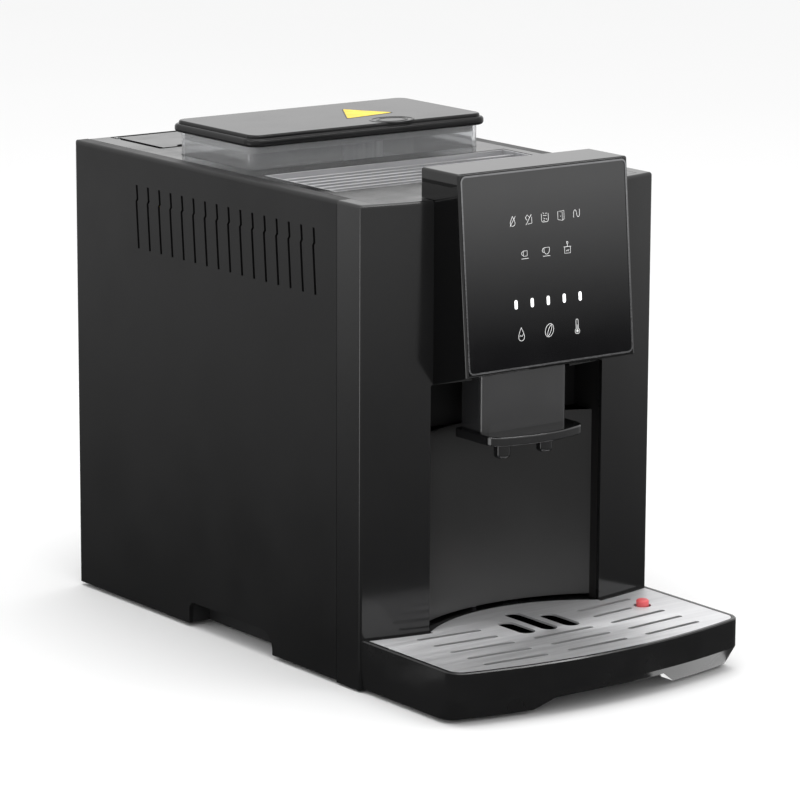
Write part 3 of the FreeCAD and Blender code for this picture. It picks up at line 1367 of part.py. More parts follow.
def upper_piston():
    z0 = high(BREW_MID + CHAMBER_H) + HEAD_CLEAR
    head = post(BREW_X, deep(BREW_D), z0, z0 + HEAD_H, PISTON_R - 1.0)
    stem = post(BREW_X, deep(BREW_D), z0 + HEAD_H, high(BREW_TOP) - BREW_PLATE, HEAD_STEM_R)
    return head.fuse(stem).removeSplitter()


def brew_piston():
    z0 = high(BREW_LOW) + BREW_PLATE + NUT_CLEAR
    head_z = high(BREW_MID) - PISTON_BELOW - PISTON_H
    piston = post(BREW_X, deep(BREW_D), head_z, head_z + PISTON_H, PISTON_R)
    piston = piston.fuse(post(BREW_X, deep(BREW_D), z0, head_z, PISTON_R / 2))
    arm = block(SCREW_X - ARM_OUT, BREW_X, deep(BREW_D) - NUT_R, deep(BREW_D) + NUT_R, z0, z0 + ARM_H)
    nut = post(SCREW_X, deep(BREW_D), z0, z0 + PISTON_NUT_H, NUT_R)
    bore = post(SCREW_X, deep(BREW_D), z0 - 1, z0 + PISTON_NUT_H + 1, SCREW_R + PIN_FIT)
    return piston.fuse(arm).fuse(nut).cut(bore).removeSplitter()


def brew_screw():
    screw = post(SCREW_X, deep(BREW_D), high(BREW_LOW) + SCREW_FOOT, high(BREW_TOP) + SCREW_PAST, SCREW_R)
    flat = block(SCREW_X - SCREW_R - 1, SCREW_X + SCREW_R + 1, deep(BREW_D) + SCREW_R - SCREW_FLAT,
                 deep(BREW_D) + SCREW_R + 1, high(BREW_TOP) + SCREW_FOOT, high(BREW_TOP) + SCREW_PAST + 1)
    return screw.cut(flat)


def brew_motor():
    z0 = high(BREW_TOP) + TOUCH
    can = post(SCREW_X, deep(BREW_D), z0, z0 + BREW_MOTOR_H, BREW_MOTOR_R)
    can = soften(can, BREW_MOTOR_EDGE_R, lambda e: abs(middle(e).z - z0 - BREW_MOTOR_H) < 0.01)
    return can.cut(post(SCREW_X, deep(BREW_D), z0 - 1, z0 + SCREW_PAST + 1, SCREW_R + 1))


# ------------------------------------------------------------------ grounds box and shelf
LEDGE_T = 2.6
LEDGE_LEG = 3.0
LEDGE_PAST = 4.0        # shelf beyond the box, front and back
LEDGE_RIGHT = HALF_W - WALL - 9.0
BOX_R = 6.0
PULL_HALF = 25.0
PULL_OUT = 3.0
PULL_DOWN = 14.0
PULL_H = 4.0


def grounds_shelf():
    top = high(SHELF_Z)
    x0 = INNER_X + INNER_T + TOUCH
    x1 = LEDGE_RIGHT
    y0 = deep(BOX_FRONT) - LEDGE_PAST
    y1 = deep(BOX_BACK) + LEDGE_PAST
    shelf = block(x0, x1, y0, y1, top - LEDGE_T, top)
    shelf = shelf.fuse(block(x0, x1, y0, y0 + LEDGE_LEG, high(FLOOR_T), top))
    x2 = BASE_HALF - GRIP_IN - 2 * WALL
    return shelf.fuse(block(x0, x2, y1 - LEDGE_LEG, y1, high(FLOOR_T), top)).removeSplitter()


def grounds_box():
    z0 = high(SHELF_Z) + SLIDE
    z1 = z0 + BOX_H
    w = BOX_WALL
    box = pad(BOX_LEFT, BOX_RIGHT, deep(BOX_FRONT), deep(BOX_BACK), z0, z1, BOX_R)
    box = box.cut(pad(BOX_LEFT + w, BOX_RIGHT - w, deep(BOX_FRONT) + w, deep(BOX_BACK) - w, z0 + w, z1 + 1,
                      BOX_R - w))
    pull = block(BOX_RIGHT - 1, BOX_RIGHT + PULL_OUT, deep(BREW_D) - PULL_HALF, deep(BREW_D) + PULL_HALF,
                 z1 - PULL_DOWN, z1 - PULL_DOWN + PULL_H)
    return box.fuse(pull).removeSplitter()


# ------------------------------------------------------------------ water side
BOILER_EDGE_R = 6.0
BRACKET_SET = 6.0       # bracket let into the boiler's side
BRACKET_HALF = 10.0
BAND_LOW = 38.0
BAND_H = 12.0
BAND_T = 1.5
BARREL_R = PUMP_R - 5.0
COIL_FRONT = 22.0       # ends of the barrel outside the coil
COIL_BACK = 18.0
COIL_R = 3.0
SADDLE_HALF = 12.0
SADDLE_IN = 4.0
SADDLE_SET = 2.0
STAND_OFF = 0.1         # gap under what stands on the pan
METER_HALF = 14.0
METER_R = 4.0
VALVE_FRONT = 180.0
VALVE_BACK = 215.0
VALVE_LOW = 90.0
VALVE_TOP = 118.0
VALVE_W = 30.0
VALVE_COIL_R = 11.0
VALVE_COIL_H = 26.0
VALVE_COIL_D = 197.0
SUCTION_Z = 13.0
METERED_D = 250.0
PRESSURE_AHEAD = 30.0   # pressure line in front of the pump
PRESSURE_BELOW = 20.0   # and below the boiler
HOT_OVER = 10.0         # hot line above the brewer
HOT_AHEAD = 30.0
COFFEE_OUT = 20.0       # coffee line beside the brewer's middle
COFFEE_BELOW = 8.0      # below the frame's slot
COFFEE_D = FRONT_D + 15.0
COFFEE_PAST = 3.0       # its end inside the outlet at its lowest


def boiler():
    y = deep(BOILER_D)
    tank = post(BOILER_X, y, high(BOILER_LOW), high(BOILER_LOW + BOILER_H), BOILER_R)
    tank = soften(tank, BOILER_EDGE_R, lambda e: e.Closed)
    bracket = block(BOILER_X + BOILER_R - BRACKET_SET, INNER_X - TOUCH, y - BRACKET_HALF, y + BRACKET_HALF,
                    high(BOILER_LOW) + BRACKET_HALF, high(BOILER_LOW + BOILER_H) - BRACKET_HALF)
    band_z = high(BOILER_LOW) + BAND_LOW
    band = post(BOILER_X, y, band_z, band_z + BAND_H, BOILER_R + BAND_T)
    return tank.fuse(bracket).fuse(band).removeSplitter()


def pump():
    z = high(PUMP_Z)
    front = deep(PUMP_FRONT) + COIL_FRONT
    back = deep(PUMP_BACK) - COIL_BACK
    barrel = rod_y(PUMP_X, deep(PUMP_FRONT), deep(PUMP_BACK), z, BARREL_R)
    coil = block(PUMP_X - PUMP_R, PUMP_X + PUMP_R, front, back, z - PUMP_R, z + PUMP_R)
    coil = soften(coil, COIL_R, lambda e: along(e, "y"))
    saddle = block(PUMP_X - SADDLE_HALF, PUMP_X + SADDLE_HALF, front + SADDLE_IN, back - SADDLE_IN,
                   high(FLOOR_T) + STAND_OFF, z - PUMP_R + SADDLE_SET)
    return barrel.fuse(coil).fuse(saddle).removeSplitter()


def flow_meter():
    return pad(METER_X - METER_HALF, METER_X + METER_HALF, deep(METER_FRONT), deep(METER_BACK),
               high(FLOOR_T) + STAND_OFF, high(METER_H), METER_R)


def valve_block():
    x1 = INNER_X - TOUCH
    body = block(x1 - VALVE_W, x1, deep(VALVE_FRONT), deep(VALVE_BACK), high(VALVE_LOW), high(VALVE_TOP))
    coil = post(x1 - VALVE_W / 2, deep(VALVE_COIL_D), high(VALVE_TOP), high(VALVE_TOP) + VALVE_COIL_H, VALVE_COIL_R)
    return body.fuse(coil).removeSplitter()


def water_pipes():
    """Suction, metering, pressure and hot-water lines."""
    seat_low = high(TANK_LOW) - TOUCH - SEAT_H
    suction_z = high(SUCTION_Z)
    suction = pipe_run([V(OUTLET_X, deep(OUTLET_D), seat_low), V(OUTLET_X, deep(OUTLET_D), suction_z),
                        V(METER_X, deep(OUTLET_D), suction_z), V(METER_X, deep(METER_BACK), suction_z)], PIPE_R)
    pump_z = high(PUMP_Z)
    link_y = deep((PUMP_BACK + BULKHEAD_D) / 2)
    metered = pipe_run([V(METER_X, deep(METERED_D), high(METER_H)), V(METER_X, deep(METERED_D), pump_z),
                        V(METER_X, link_y, pump_z), V(PUMP_X, link_y, pump_z), V(PUMP_X, deep(PUMP_BACK), pump_z)],
                       PIPE_R)
    rise_y = deep(PUMP_FRONT - PRESSURE_AHEAD)
    rise_z = high(BOILER_LOW - PRESSURE_BELOW)
    pressure = pipe_run([V(PUMP_X, deep(PUMP_FRONT), pump_z), V(PUMP_X, rise_y, pump_z), V(PUMP_X, rise_y, rise_z),
                         V(BOILER_X, deep(BOILER_D), rise_z), V(BOILER_X, deep(BOILER_D), high(BOILER_LOW))], PIPE_R)
    over_z = high(BREW_TOP + HOT_OVER)
    side_y = deep(BREW_D - HOT_AHEAD)
    hot = pipe_run([V(BOILER_X, deep(BOILER_D), high(BOILER_LOW + BOILER_H)), V(BOILER_X, deep(BOILER_D), over_z),
                    V(BOILER_X, side_y, over_z), V(BREW_X, side_y, over_z), V(BREW_X, deep(BREW_D), over_z),
                    V(BREW_X, deep(BREW_D), high(BREW_TOP))], PIPE_R)
    return Part.makeCompound([suction, metered, pressure, hot])


def coffee_pipe():
    """Brewed coffee: from the brewer's head over to the outlet, ending in the spout's duct."""
    x = BREW_X + COFFEE_OUT
    top = high(SLOT_TOP - COFFEE_BELOW)
    start = V(x, deep(BREW_D), high(BREW_TOP))
    end = V(0, deep(-FEED_Y), high(SPOUT_LOW + SPOUT_H - SPOUT_DROP - COFFEE_PAST))
    return pipe_run([start, V(x, deep(BREW_D), top), V(x, deep(COFFEE_D), top), V(0, deep(COFFEE_D), top),
                     V(0, deep(-FEED_Y), top), end], FEED_R)


# ------------------------------------------------------------------ mains side
SPACER_L = 8.0
SPACER_R = 3.0
SPACER_IN = 6.0         # from the board's edges
POWER_FRONT = 60.0
POWER_BACK = 170.0
POWER_LOW = 60.0
POWER_TOP = 140.0
POWER_PARTS = (         # transformer, relay block and heat sink: depth, height, length, width, thickness
    (80.0, 84.0, 26.0, 30.0, 22.0),
    (125.0, 80.0, 30.0, 24.0, 18.0),
    (105.0, 118.0, 60.0, 16.0, 12.0),
)
SNAP_FREE = 0.3         # gap round what snaps into the back
INLET_DEEP = 22.0
INLET_EDGE = 2.6
WELL_HALF_H = 9.0
WELL_DEEP = 16.0
WELL_R = 3.0
BLADE_FRONT = 18.0
BLADE_BACK = 7.0
BLADE_W = 1.0
BLADE_H = 2.0
BLADES = ((0.0, 3.5), (-6.5, -2.5), (6.5, -2.5))


def power_board():
    x0 = -HALF_W + WALL
    front = x0 + SPACER_L + BOARD_T
    board = block(x0 + SPACER_L, front, deep(POWER_FRONT), deep(POWER_BACK), high(POWER_LOW), high(POWER_TOP))
    for d in (POWER_FRONT + SPACER_IN, POWER_BACK - SPACER_IN):
        for z in (POWER_LOW + SPACER_IN, POWER_TOP - SPACER_IN):
            board = board.fuse(rod_x(x0 + TOUCH, x0 + SPACER_L, deep(d), high(z), SPACER_R))
    for d, z, w, h, t in POWER_PARTS:
        board = board.fuse(block(front, front + t, deep(d) - w / 2, deep(d) + w / 2, high(z) - h / 2,
                                 high(z) + h / 2))
    return board.removeSplitter()


def power_inlet():
    x0 = INLET_X - INLET_W / 2 + SNAP_FREE
    x1 = INLET_X + INLET_W / 2 - SNAP_FREE
    z0 = high(INLET_Z) - INLET_H / 2 + SNAP_FREE
    z1 = high(INLET_Z) + INLET_H / 2 - SNAP_FREE
    body = block(x0, x1, REAR_Y - INLET_DEEP, REAR_Y - TOUCH, z0, z1)
    well = pad(x0 + INLET_EDGE, x1 - INLET_EDGE, -WELL_HALF_H, WELL_HALF_H, 0.0, WELL_DEEP, WELL_R)
    well.rotate(V(0, 0, 0), V(1, 0, 0), 90.0)
    well.translate(V(0, REAR_Y, high(INLET_Z)))
    body = body.cut(well)
    for dx, dz in BLADES:
        x = INLET_X + dx
        z = high(INLET_Z) + dz
        body = body.fuse(block(x - BLADE_W, x + BLADE_W, REAR_Y - BLADE_FRONT, REAR_Y - BLADE_BACK, z - BLADE_H,
                               z + BLADE_H))
    return body.removeSplitter()


ROCKER_Y = REAR_Y - 7.0
ROCKER_STUB_R = 1.5
ROCKER_STUB_L = 2.4
SWITCH_DEEP = 16.0
SWITCH_WELL = 13.0
SWITCH_SIDE = 2.5
SWITCH_END = 1.5
ROCKER_OUTLINE = ((-9.5, -1.0), (-9.5, 3.5), (0.0, 4.6), (9.5, 3.5), (9.5, -1.0), (3.0, -4.0), (-3.0, -4.0))


def switch_frame():
    w = SWITCH_W / 2 - SNAP_FREE
    h = SWITCH_H / 2 - SNAP_FREE
    z = high(INLET_Z)
    inner = w - SWITCH_SIDE
    frame = block(SWITCH_X - w, SWITCH_X + w, REAR_Y - SWITCH_DEEP, REAR_Y - SNAP_FREE, z - h, z + h)
    frame = frame.cut(block(SWITCH_X - inner, SWITCH_X + inner, REAR_Y - SWITCH_WELL, REAR_Y, z - h + SWITCH_END,
                            z + h - SWITCH_END))
    return frame.cut(rod_x(SWITCH_X - w - 1, SWITCH_X + w + 1, ROCKER_Y, z, ROCKER_STUB_R + PIN_FIT))


def power_rocker():
    w = SWITCH_W / 2 - SNAP_FREE - SWITCH_SIDE - SLIDE
    z = high(INLET_Z)
    corners = [V(SWITCH_X - w, ROCKER_Y + dy, z + dz) for dz, dy in ROCKER_OUTLINE]
    rocker = face_of(corners[0], *corners[1:]).extrude(V(2 * w, 0, 0))
    stub = w + ROCKER_STUB_L
    rocker = rocker.fuse(rod_x(SWITCH_X - stub, SWITCH_X + stub, ROCKER_Y, z, ROCKER_STUB_R))
    rocker.rotate(V(SWITCH_X, ROCKER_Y, z), V(1, 0, 0), -ROCKER_TILT)
    return rocker.removeSplitter()


# ------------------------------------------------------------------ one file for each piece
PIECES = [
    base_pan, feet, side_panel_left, side_panel_right, door_pins, magnet_strike, rear_panel, rear_screws, top_cover,
    front_frame, bay_panel, spout_guide, head_shell, head_bezel, control_glass, control_board, tray_runners, cup_shelf,
    hopper_bin, tank_seat, inner_frame, rear_bulkhead, grinder_body, grinder_motor, grounds_chute, brew_frame,
    brew_chamber, upper_piston, brew_motor, grounds_shelf, boiler, pump, flow_meter, valve_block, water_pipes,
    coffee_pipe, power_board, power_inlet, switch_frame,
    service_door, door_magnet, spout_cover, spout_body, spout_nozzles, drip_tray, drip_grid, tray_float, hopper_lid,
    lid_seal, water_tank, tank_valve, tank_lid, tank_lid_pins, lower_burr, upper_burr, grind_knob, brew_piston,
    brew_screw, grounds_box, power_rocker,
]


def build():
    os.makedirs("parts", exist_ok=True)
    for piece in PIECES:
        piece().exportStep("parts/" + piece.__name__ + ".step")


build()
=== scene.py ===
import bmesh
import bpy
import math
from mathutils import Matrix, Vector


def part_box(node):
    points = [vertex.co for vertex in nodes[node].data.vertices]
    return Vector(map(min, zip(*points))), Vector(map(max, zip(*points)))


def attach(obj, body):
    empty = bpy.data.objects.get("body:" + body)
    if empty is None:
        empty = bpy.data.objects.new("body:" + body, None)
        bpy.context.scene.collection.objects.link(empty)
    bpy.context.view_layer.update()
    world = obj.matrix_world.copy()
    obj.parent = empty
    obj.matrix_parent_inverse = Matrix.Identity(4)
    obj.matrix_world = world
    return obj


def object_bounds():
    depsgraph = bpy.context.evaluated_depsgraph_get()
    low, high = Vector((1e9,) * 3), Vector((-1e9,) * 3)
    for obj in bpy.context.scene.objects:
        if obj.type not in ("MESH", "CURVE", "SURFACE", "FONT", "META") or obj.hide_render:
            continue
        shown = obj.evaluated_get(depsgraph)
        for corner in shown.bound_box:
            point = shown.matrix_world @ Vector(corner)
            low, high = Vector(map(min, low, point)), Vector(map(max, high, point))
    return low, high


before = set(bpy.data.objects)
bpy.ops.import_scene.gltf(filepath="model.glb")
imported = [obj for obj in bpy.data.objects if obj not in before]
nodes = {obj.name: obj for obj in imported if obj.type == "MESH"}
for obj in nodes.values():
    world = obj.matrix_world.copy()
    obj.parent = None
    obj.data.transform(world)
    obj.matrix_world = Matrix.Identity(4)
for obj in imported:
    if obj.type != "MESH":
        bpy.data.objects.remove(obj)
cad_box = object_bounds()

# ---------------------------------------------------------------- base pan, tray runners and feet
# The pan is the moulded floor that everything stands on, matt black glass-filled plastic with a fine
# spark-eroded texture. Four soft rubber pads are pressed into it, and two rails carry the tray's tongue.


def new_finish(name):
    material = bpy.data.materials.new(name)
    material.use_nodes = True
    shader = material.node_tree.nodes["Principled BSDF"]
    return material, material.node_tree, shader


def noise(tree, size, detail=3.0, stretch=(1, 1, 1)):
    """Noise with features about size metres across, longer along an axis whose stretch is small."""
    where = tree.nodes.new("ShaderNodeTexCoord")
    scale = tree.nodes.new("ShaderNodeMapping")
    scale.inputs["Scale"].default_value = stretch
    field = tree.nodes.new("ShaderNodeTexNoise")
    field.inputs["Scale"].default_value = 1 / size
    field.inputs["Detail"].default_value = detail
    tree.links.new(where.outputs["Object"], scale.inputs["Vector"])
    tree.links.new(scale.outputs["Vector"], field.inputs["Vector"])
    return field.outputs["Fac"]


def spread(tree, value, low, high, socket):
    """Drives socket from low to high as value goes through the middle of its range."""
    ramp = tree.nodes.new("ShaderNodeMapRange")
    ramp.inputs["From Min"].default_value = 0.3
    ramp.inputs["From Max"].default_value = 0.7
    ramp.inputs["To Min"].default_value = low
    ramp.inputs["To Max"].default_value = high
    tree.links.new(value, ramp.inputs["Value"])
    tree.links.new(ramp.outputs["Result"], socket)


def tint(tree, value, dark, light, socket):
    """Drives a colour socket between two colours."""
    mix = tree.nodes.new("ShaderNodeMix")
    mix.data_type = "RGBA"
    mix.inputs[6].default_value = (*dark, 1)
    mix.inputs[7].default_value = (*light, 1)
    spread(tree, value, 0.0, 1.0, mix.inputs[0])
    tree.links.new(mix.outputs[2], socket)


def relief(tree, shader, value, height, strength=1.0):
    bump = tree.nodes.new("ShaderNodeBump")
    bump.inputs["Distance"].default_value = height
    bump.inputs["Strength"].default_value = strength
    tree.links.new(value, bump.inputs["Height"])
    tree.links.new(bump.outputs["Normal"], shader.inputs["Normal"])


PATCH_DARK = 0.82
PATCH_LIGHT = 1.2
HANDLED_SIZE = 0.4
HANDLED_SMOOTH = 0.86
HANDLED_ROUGH = 1.16


def moulded(name, colour, rough, texture=0.0006, height=0.00003, specular=0.4, patch=0.06):
    """Injection-moulded plastic: a fine skin texture, faint flow patches and handled areas."""
    material, tree, shader = new_finish(name)
    dark = [c * PATCH_DARK for c in colour]
    light = [c * PATCH_LIGHT for c in colour]
    tint(tree, noise(tree, patch, 4.0), dark, light, shader.inputs["Base Color"])
    handled = noise(tree, patch * HANDLED_SIZE, 5.0)
    spread(tree, handled, rough * HANDLED_SMOOTH, rough * HANDLED_ROUGH, shader.inputs["Roughness"])
    shader.inputs["Specular IOR Level"].default_value = specular
    relief(tree, shader, noise(tree, texture, 2.0), height)
    return material


def dress(material, *names):
    """Gives CAD pieces their finish through their own material slots."""
    for name in names:
        for holder in nodes[name].material_slots:
            holder.material = material


structure_black = moulded("structure_black", (0.012, 0.012, 0.0125), 0.55)
soft_rubber = moulded("soft_rubber", (0.02, 0.02, 0.02), 0.8, texture=0.0004, height=0.00005, specular=0.25)
dress(structure_black, "base_pan", "tray_runners", "tank_seat", "grounds_chute", "grounds_shelf")
dress(soft_rubber, "feet")

# ---------------------------------------------------------------- inner walls
# A centre wall with a deck for the grinder and a bulkhead in front of the tank stiffen the casing.
# Both are grey glass-filled nylon, screwed to the pan, with the fibres just visible in the skin.

frame_grey = moulded("frame_grey", (0.14, 0.14, 0.148), 0.5, texture=0.0016, height=0.00004)
dress(frame_grey, "inner_frame", "rear_bulkhead", "brew_frame")

# ---------------------------------------------------------------- grinder
# Cast aluminium housing with a hardened steel burr pair. The lower burr sits on the motor's shaft,
# the upper one hangs from the light grey knob that the user turns in the bottom of the bean bin.


def cast_metal(name, colour, rough, grain=0.0012, height=0.00012):
    """Sand-blasted casting: pitted, uneven skin."""
    material, tree, shader = new_finish(name)
    shader.inputs["Metallic"].default_value = 1.0
    tint(tree, noise(tree, 0.02, 4.0), [c * 0.8 for c in colour], colour, shader.inputs["Base Color"])
    spread(tree, noise(tree, 0.006, 4.0), rough * 0.8, rough * 1.2, shader.inputs["Roughness"])
    relief(tree, shader, noise(tree, grain, 3.0), height)
    return material


def machined(name, colour, rough, stretch, height=0.00002, metallic=1.0):
    """Ground or brushed metal: fine lines that run along the axis with the small stretch."""
    material, tree, shader = new_finish(name)
    shader.inputs["Metallic"].default_value = metallic
    shader.inputs["Anisotropic"].default_value = 0.5
    lines = noise(tree, 0.0011, 3.0, stretch)
    shade = [c * 0.88 for c in colour]
    tint(tree, noise(tree, 0.004, 3.0, stretch), shade, colour, shader.inputs["Base Color"])
    spread(tree, lines, rough * 0.8, rough * 1.25, shader.inputs["Roughness"])
    relief(tree, shader, lines, height)
    return material


grinder_alloy = cast_metal("grinder_alloy", (0.5, 0.5, 0.51), 0.5)
burr_steel = machined("burr_steel", (0.55, 0.55, 0.56), 0.28, (1, 1, 0.2))
zinc_can = machined("zinc_can", (0.42, 0.43, 0.45), 0.38, (1, 1, 0.1))
knob_grey = moulded("knob_grey", (0.62, 0.63, 0.64), 0.38, texture=0.0008, specular=0.5)
dress(grinder_alloy, "grinder_body")
dress(burr_steel, "lower_burr", "upper_burr")
dress(zinc_can, "grinder_motor", "brew_motor", "pump")
dress(knob_grey, "grind_knob")

# ---------------------------------------------------------------- brewer
# Warm grey food-grade plastic chamber with a piston below it, driven up by a steel lead screw,
# and a fixed upper piston above. It stands in its own frame behind the service door.

food_plastic = moulded("food_plastic", (0.3, 0.27, 0.24), 0.42, texture=0.001, specular=0.5)
plain_steel = machined("plain_steel", (0.6, 0.6, 0.61), 0.3, (1, 1, 0.15))
dress(food_plastic, "brew_chamber", "upper_piston", "brew_piston", "flow_meter")
dress(plain_steel, "brew_screw", "door_pins", "magnet_strike", "door_magnet", "tank_lid_pins", "rear_screws")

# ---------------------------------------------------------------- water side
# Cast thermoblock, vibrating pump, flow meter and a brass valve, joined by milky silicone hose.
# The hose is left slightly glossy, as extruded.

boiler_alloy = cast_metal("boiler_alloy", (0.62, 0.62, 0.61), 0.42)
valve_brass = machined("valve_brass", (0.58, 0.42, 0.17), 0.32, (1, 1, 0.3))
hose, hose_tree, hose_shader = new_finish("silicone_hose")
tint(hose_tree, noise(hose_tree, 0.02), (0.62, 0.61, 0.57), (0.78, 0.77, 0.74),
     hose_shader.inputs["Base Color"])
spread(hose_tree, noise(hose_tree, 0.005), 0.3, 0.45, hose_shader.inputs["Roughness"])
relief(hose_tree, hose_shader, noise(hose_tree, 0.002), 0.00005)
hose_shader.inputs["Subsurface Weight"].default_value = 0.2
hose_shader.inputs["Subsurface Radius"].default_value = (0.004, 0.004, 0.004)
dress(boiler_alloy, "boiler")
dress(valve_brass, "valve_block")
dress(hose, "water_pipes", "coffee_pipe")

# ---------------------------------------------------------------- boards, mains inlet and switch
# Two glass-fibre boards under green solder mask, one behind the panel and one on the left wall.
# The inlet and the rocker at the back are glossy thermoplastic, snapped into the rear panel.

board_green, board_tree, board_shader = new_finish("board_green")
copper = noise(board_tree, 0.0035, 1.0, (1, 1, 0.25))
tint(board_tree, copper, (0.008, 0.07, 0.022), (0.02, 0.14, 0.05), board_shader.inputs["Base Color"])
spread(board_tree, copper, 0.28, 0.4, board_shader.inputs["Roughness"])
relief(board_tree, board_shader, copper, 0.00004)
socket_black = moulded("socket_black", (0.012, 0.012, 0.013), 0.3, texture=0.0005, specular=0.5)
rocker_black = moulded("rocker_black", (0.01, 0.01, 0.011), 0.16, texture=0.002, height=0.00001,
                       specular=0.5)
dress(board_green, "control_board", "power_board")
dress(socket_black, "power_inlet", "switch_frame")
dress(rocker_black, "power_rocker")

# ---------------------------------------------------------------- sides, back and service door
# Large satin black ABS mouldings with a fine even grain, wrapped over the deck and the back.
# The right one carries the service door on two steel pins, held shut by a magnet.

side_black = moulded("side_black", (0.0062, 0.0062, 0.0064), 0.38, texture=0.0005, height=0.00002,
                     specular=0.25, patch=0.11)
dress(side_black, "side_panel_left", "side_panel_right", "rear_panel", "service_door")

# ---------------------------------------------------------------- deck and cup shelf
# The deck is polished black ABS with light handling haze. The cup shelf is a ribbed tray of brushed
# metal let into it, warmed from below.


def polished(name, colour, rough, specular=0.5, haze=0.5, wave=0.00001):
    """Polished plastic: mirror-like, with wiping haze and the slight waviness of a moulded face."""
    material, tree, shader = new_finish(name)
    tint(tree, noise(tree, 0.09, 3.0), [c * 0.9 for c in colour], [c * 1.1 for c in colour],
         shader.inputs["Base Color"])
    spread(tree, noise(tree, 0.035, 6.0), rough * (1 - haze), rough * (1 + haze), shader.inputs["Roughness"])
    shader.inputs["Specular IOR Level"].default_value = specular
    relief(tree, shader, noise(tree, 0.012, 2.0), wave)
    return material


deck_black = polished("deck_black", (0.02, 0.02, 0.0205), 0.16)
shelf_metal = machined("shelf_metal", (0.5, 0.5, 0.51), 0.4, (0.03, 1, 1), metallic=0.7)
dress(deck_black, "top_cover", "tank_lid")
dress(shelf_metal, "cup_shelf")

# ---------------------------------------------------------------- bean bin, lid and seal
# Clear bin moulded in one piece with its neck. Its lid is glossy black with a silicone ring inside,
# a blank yellow triangle on top and two raised oval rings beside it.


def clear_plastic(name, colour, rough, clear=1.0, ior=1.49):
    material, tree, shader = new_finish(name)
    shader.inputs["Base Color"].default_value = (*colour, 1)
    shader.inputs["Transmission Weight"].default_value = clear
    shader.inputs["IOR"].default_value = ior
    spread(tree, noise(tree, 0.02, 4.0, (0.3, 0.3, 1)), rough * 0.5, rough * 1.6, shader.inputs["Roughness"])
    relief(tree, shader, noise(tree, 0.014, 3.0, (0.25, 0.25, 1)), 0.0004, 0.6)
    return material


smoked_clear = clear_plastic("smoked_clear", (0.86, 0.87, 0.88), 0.08, clear=0.84)
lid_black = polished("lid_black", (0.012, 0.012, 0.0122), 0.13, specular=0.2, haze=0.2)
seal_silicone = moulded("seal_silicone", (0.3, 0.3, 0.3), 0.5, texture=0.0015)
dress(smoked_clear, "hopper_bin")
dress(lid_black, "hopper_lid")
dress(seal_silicone, "lid_seal")

lid_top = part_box("hopper_lid")[1].z
STICKER_T = 0.0001
STICKER_R = 0.0016
YELLOW_SHARE = 0.93
YELLOW_R = 0.0011
YELLOW_TOP = STICKER_T * 1.6
sticker_corners = [(0.0265, 0.1160), (0.0010, 0.0745), (0.0480, 0.0810)]


def rounded_outline(corners, radius, steps=5):
    """Closed outline with each corner turned into an arc."""
    ring = []
    for i, corner in enumerate(corners):
        here = Vector(corner)
        back = (Vector(corners[i - 1]) - here).normalized()
        ahead = (Vector(corners[(i + 1) % len(corners)]) - here).normalized()
        half = back.angle(ahead) / 2
        centre = here + (back + ahead).normalized() * radius / math.sin(half)
        start = here + back * radius / math.tan(half) - centre
        end = here + ahead * radius / math.tan(half) - centre
        sweep = start.angle_signed(end)
        for k in range(steps + 1):
            ring.append(centre + Matrix.Rotation(-sweep * k / steps, 2) @ start)
    return ring


def slab(name, ring, place, z0, z1, bevel=0.0):
    """Flat piece of the given outline, between two heights, in the plane that place sets up."""
    mesh = bpy.data.meshes.new(name)
    form = bmesh.new()
    low = [form.verts.new((p[0], p[1], z0)) for p in ring]
    high = [form.verts.new((p[0], p[1], z1)) for p in ring]
    form.faces.new(high)
    form.faces.new(low[::-1])
    for i in range(len(ring)):
        j = (i + 1) % len(ring)
        form.faces.new((low[i], low[j], high[j], high[i]))
    bmesh.ops.recalc_face_normals(form, faces=form.faces)
    form.transform(place)
    form.to_mesh(mesh)
    form.free()
    piece = bpy.data.objects.new(name, mesh)
    bpy.context.scene.collection.objects.link(piece)
    if bevel:
        soften = piece.modifiers.new("soft_edges", "BEVEL")
        soften.width = bevel
        soften.segments = 2
        soften.limit_method = "ANGLE"
    return piece


caution_yellow = moulded("caution_yellow", (0.86, 0.62, 0.02), 0.4, texture=0.0009, height=0.00001,
                         specular=0.4, patch=0.012)
caution_edge = moulded("caution_edge", (0.012, 0.012, 0.012), 0.4)
on_lid = Matrix.Translation((0, 0, lid_top))
backing = slab("caution_backing", rounded_outline(sticker_corners, STICKER_R), on_lid, 0.0, STICKER_T)
backing.data.materials.append(caution_edge)
centre = sum((Vector(c) for c in sticker_corners), Vector((0, 0))) / 3
inner_corners = [centre + (Vector(c) - centre) * YELLOW_SHARE for c in sticker_corners]
triangle = slab("caution_triangle", rounded_outline(inner_corners, YELLOW_R), on_lid, STICKER_T, YELLOW_TOP)
triangle.data.materials.append(caution_yellow)

RING_CENTRE = (0.026, 0.054)
RING_REACHES = [(0.0165, 0.0125), (0.0115, 0.0082)]
RING_W = 0.0011
RING_H = 0.0003


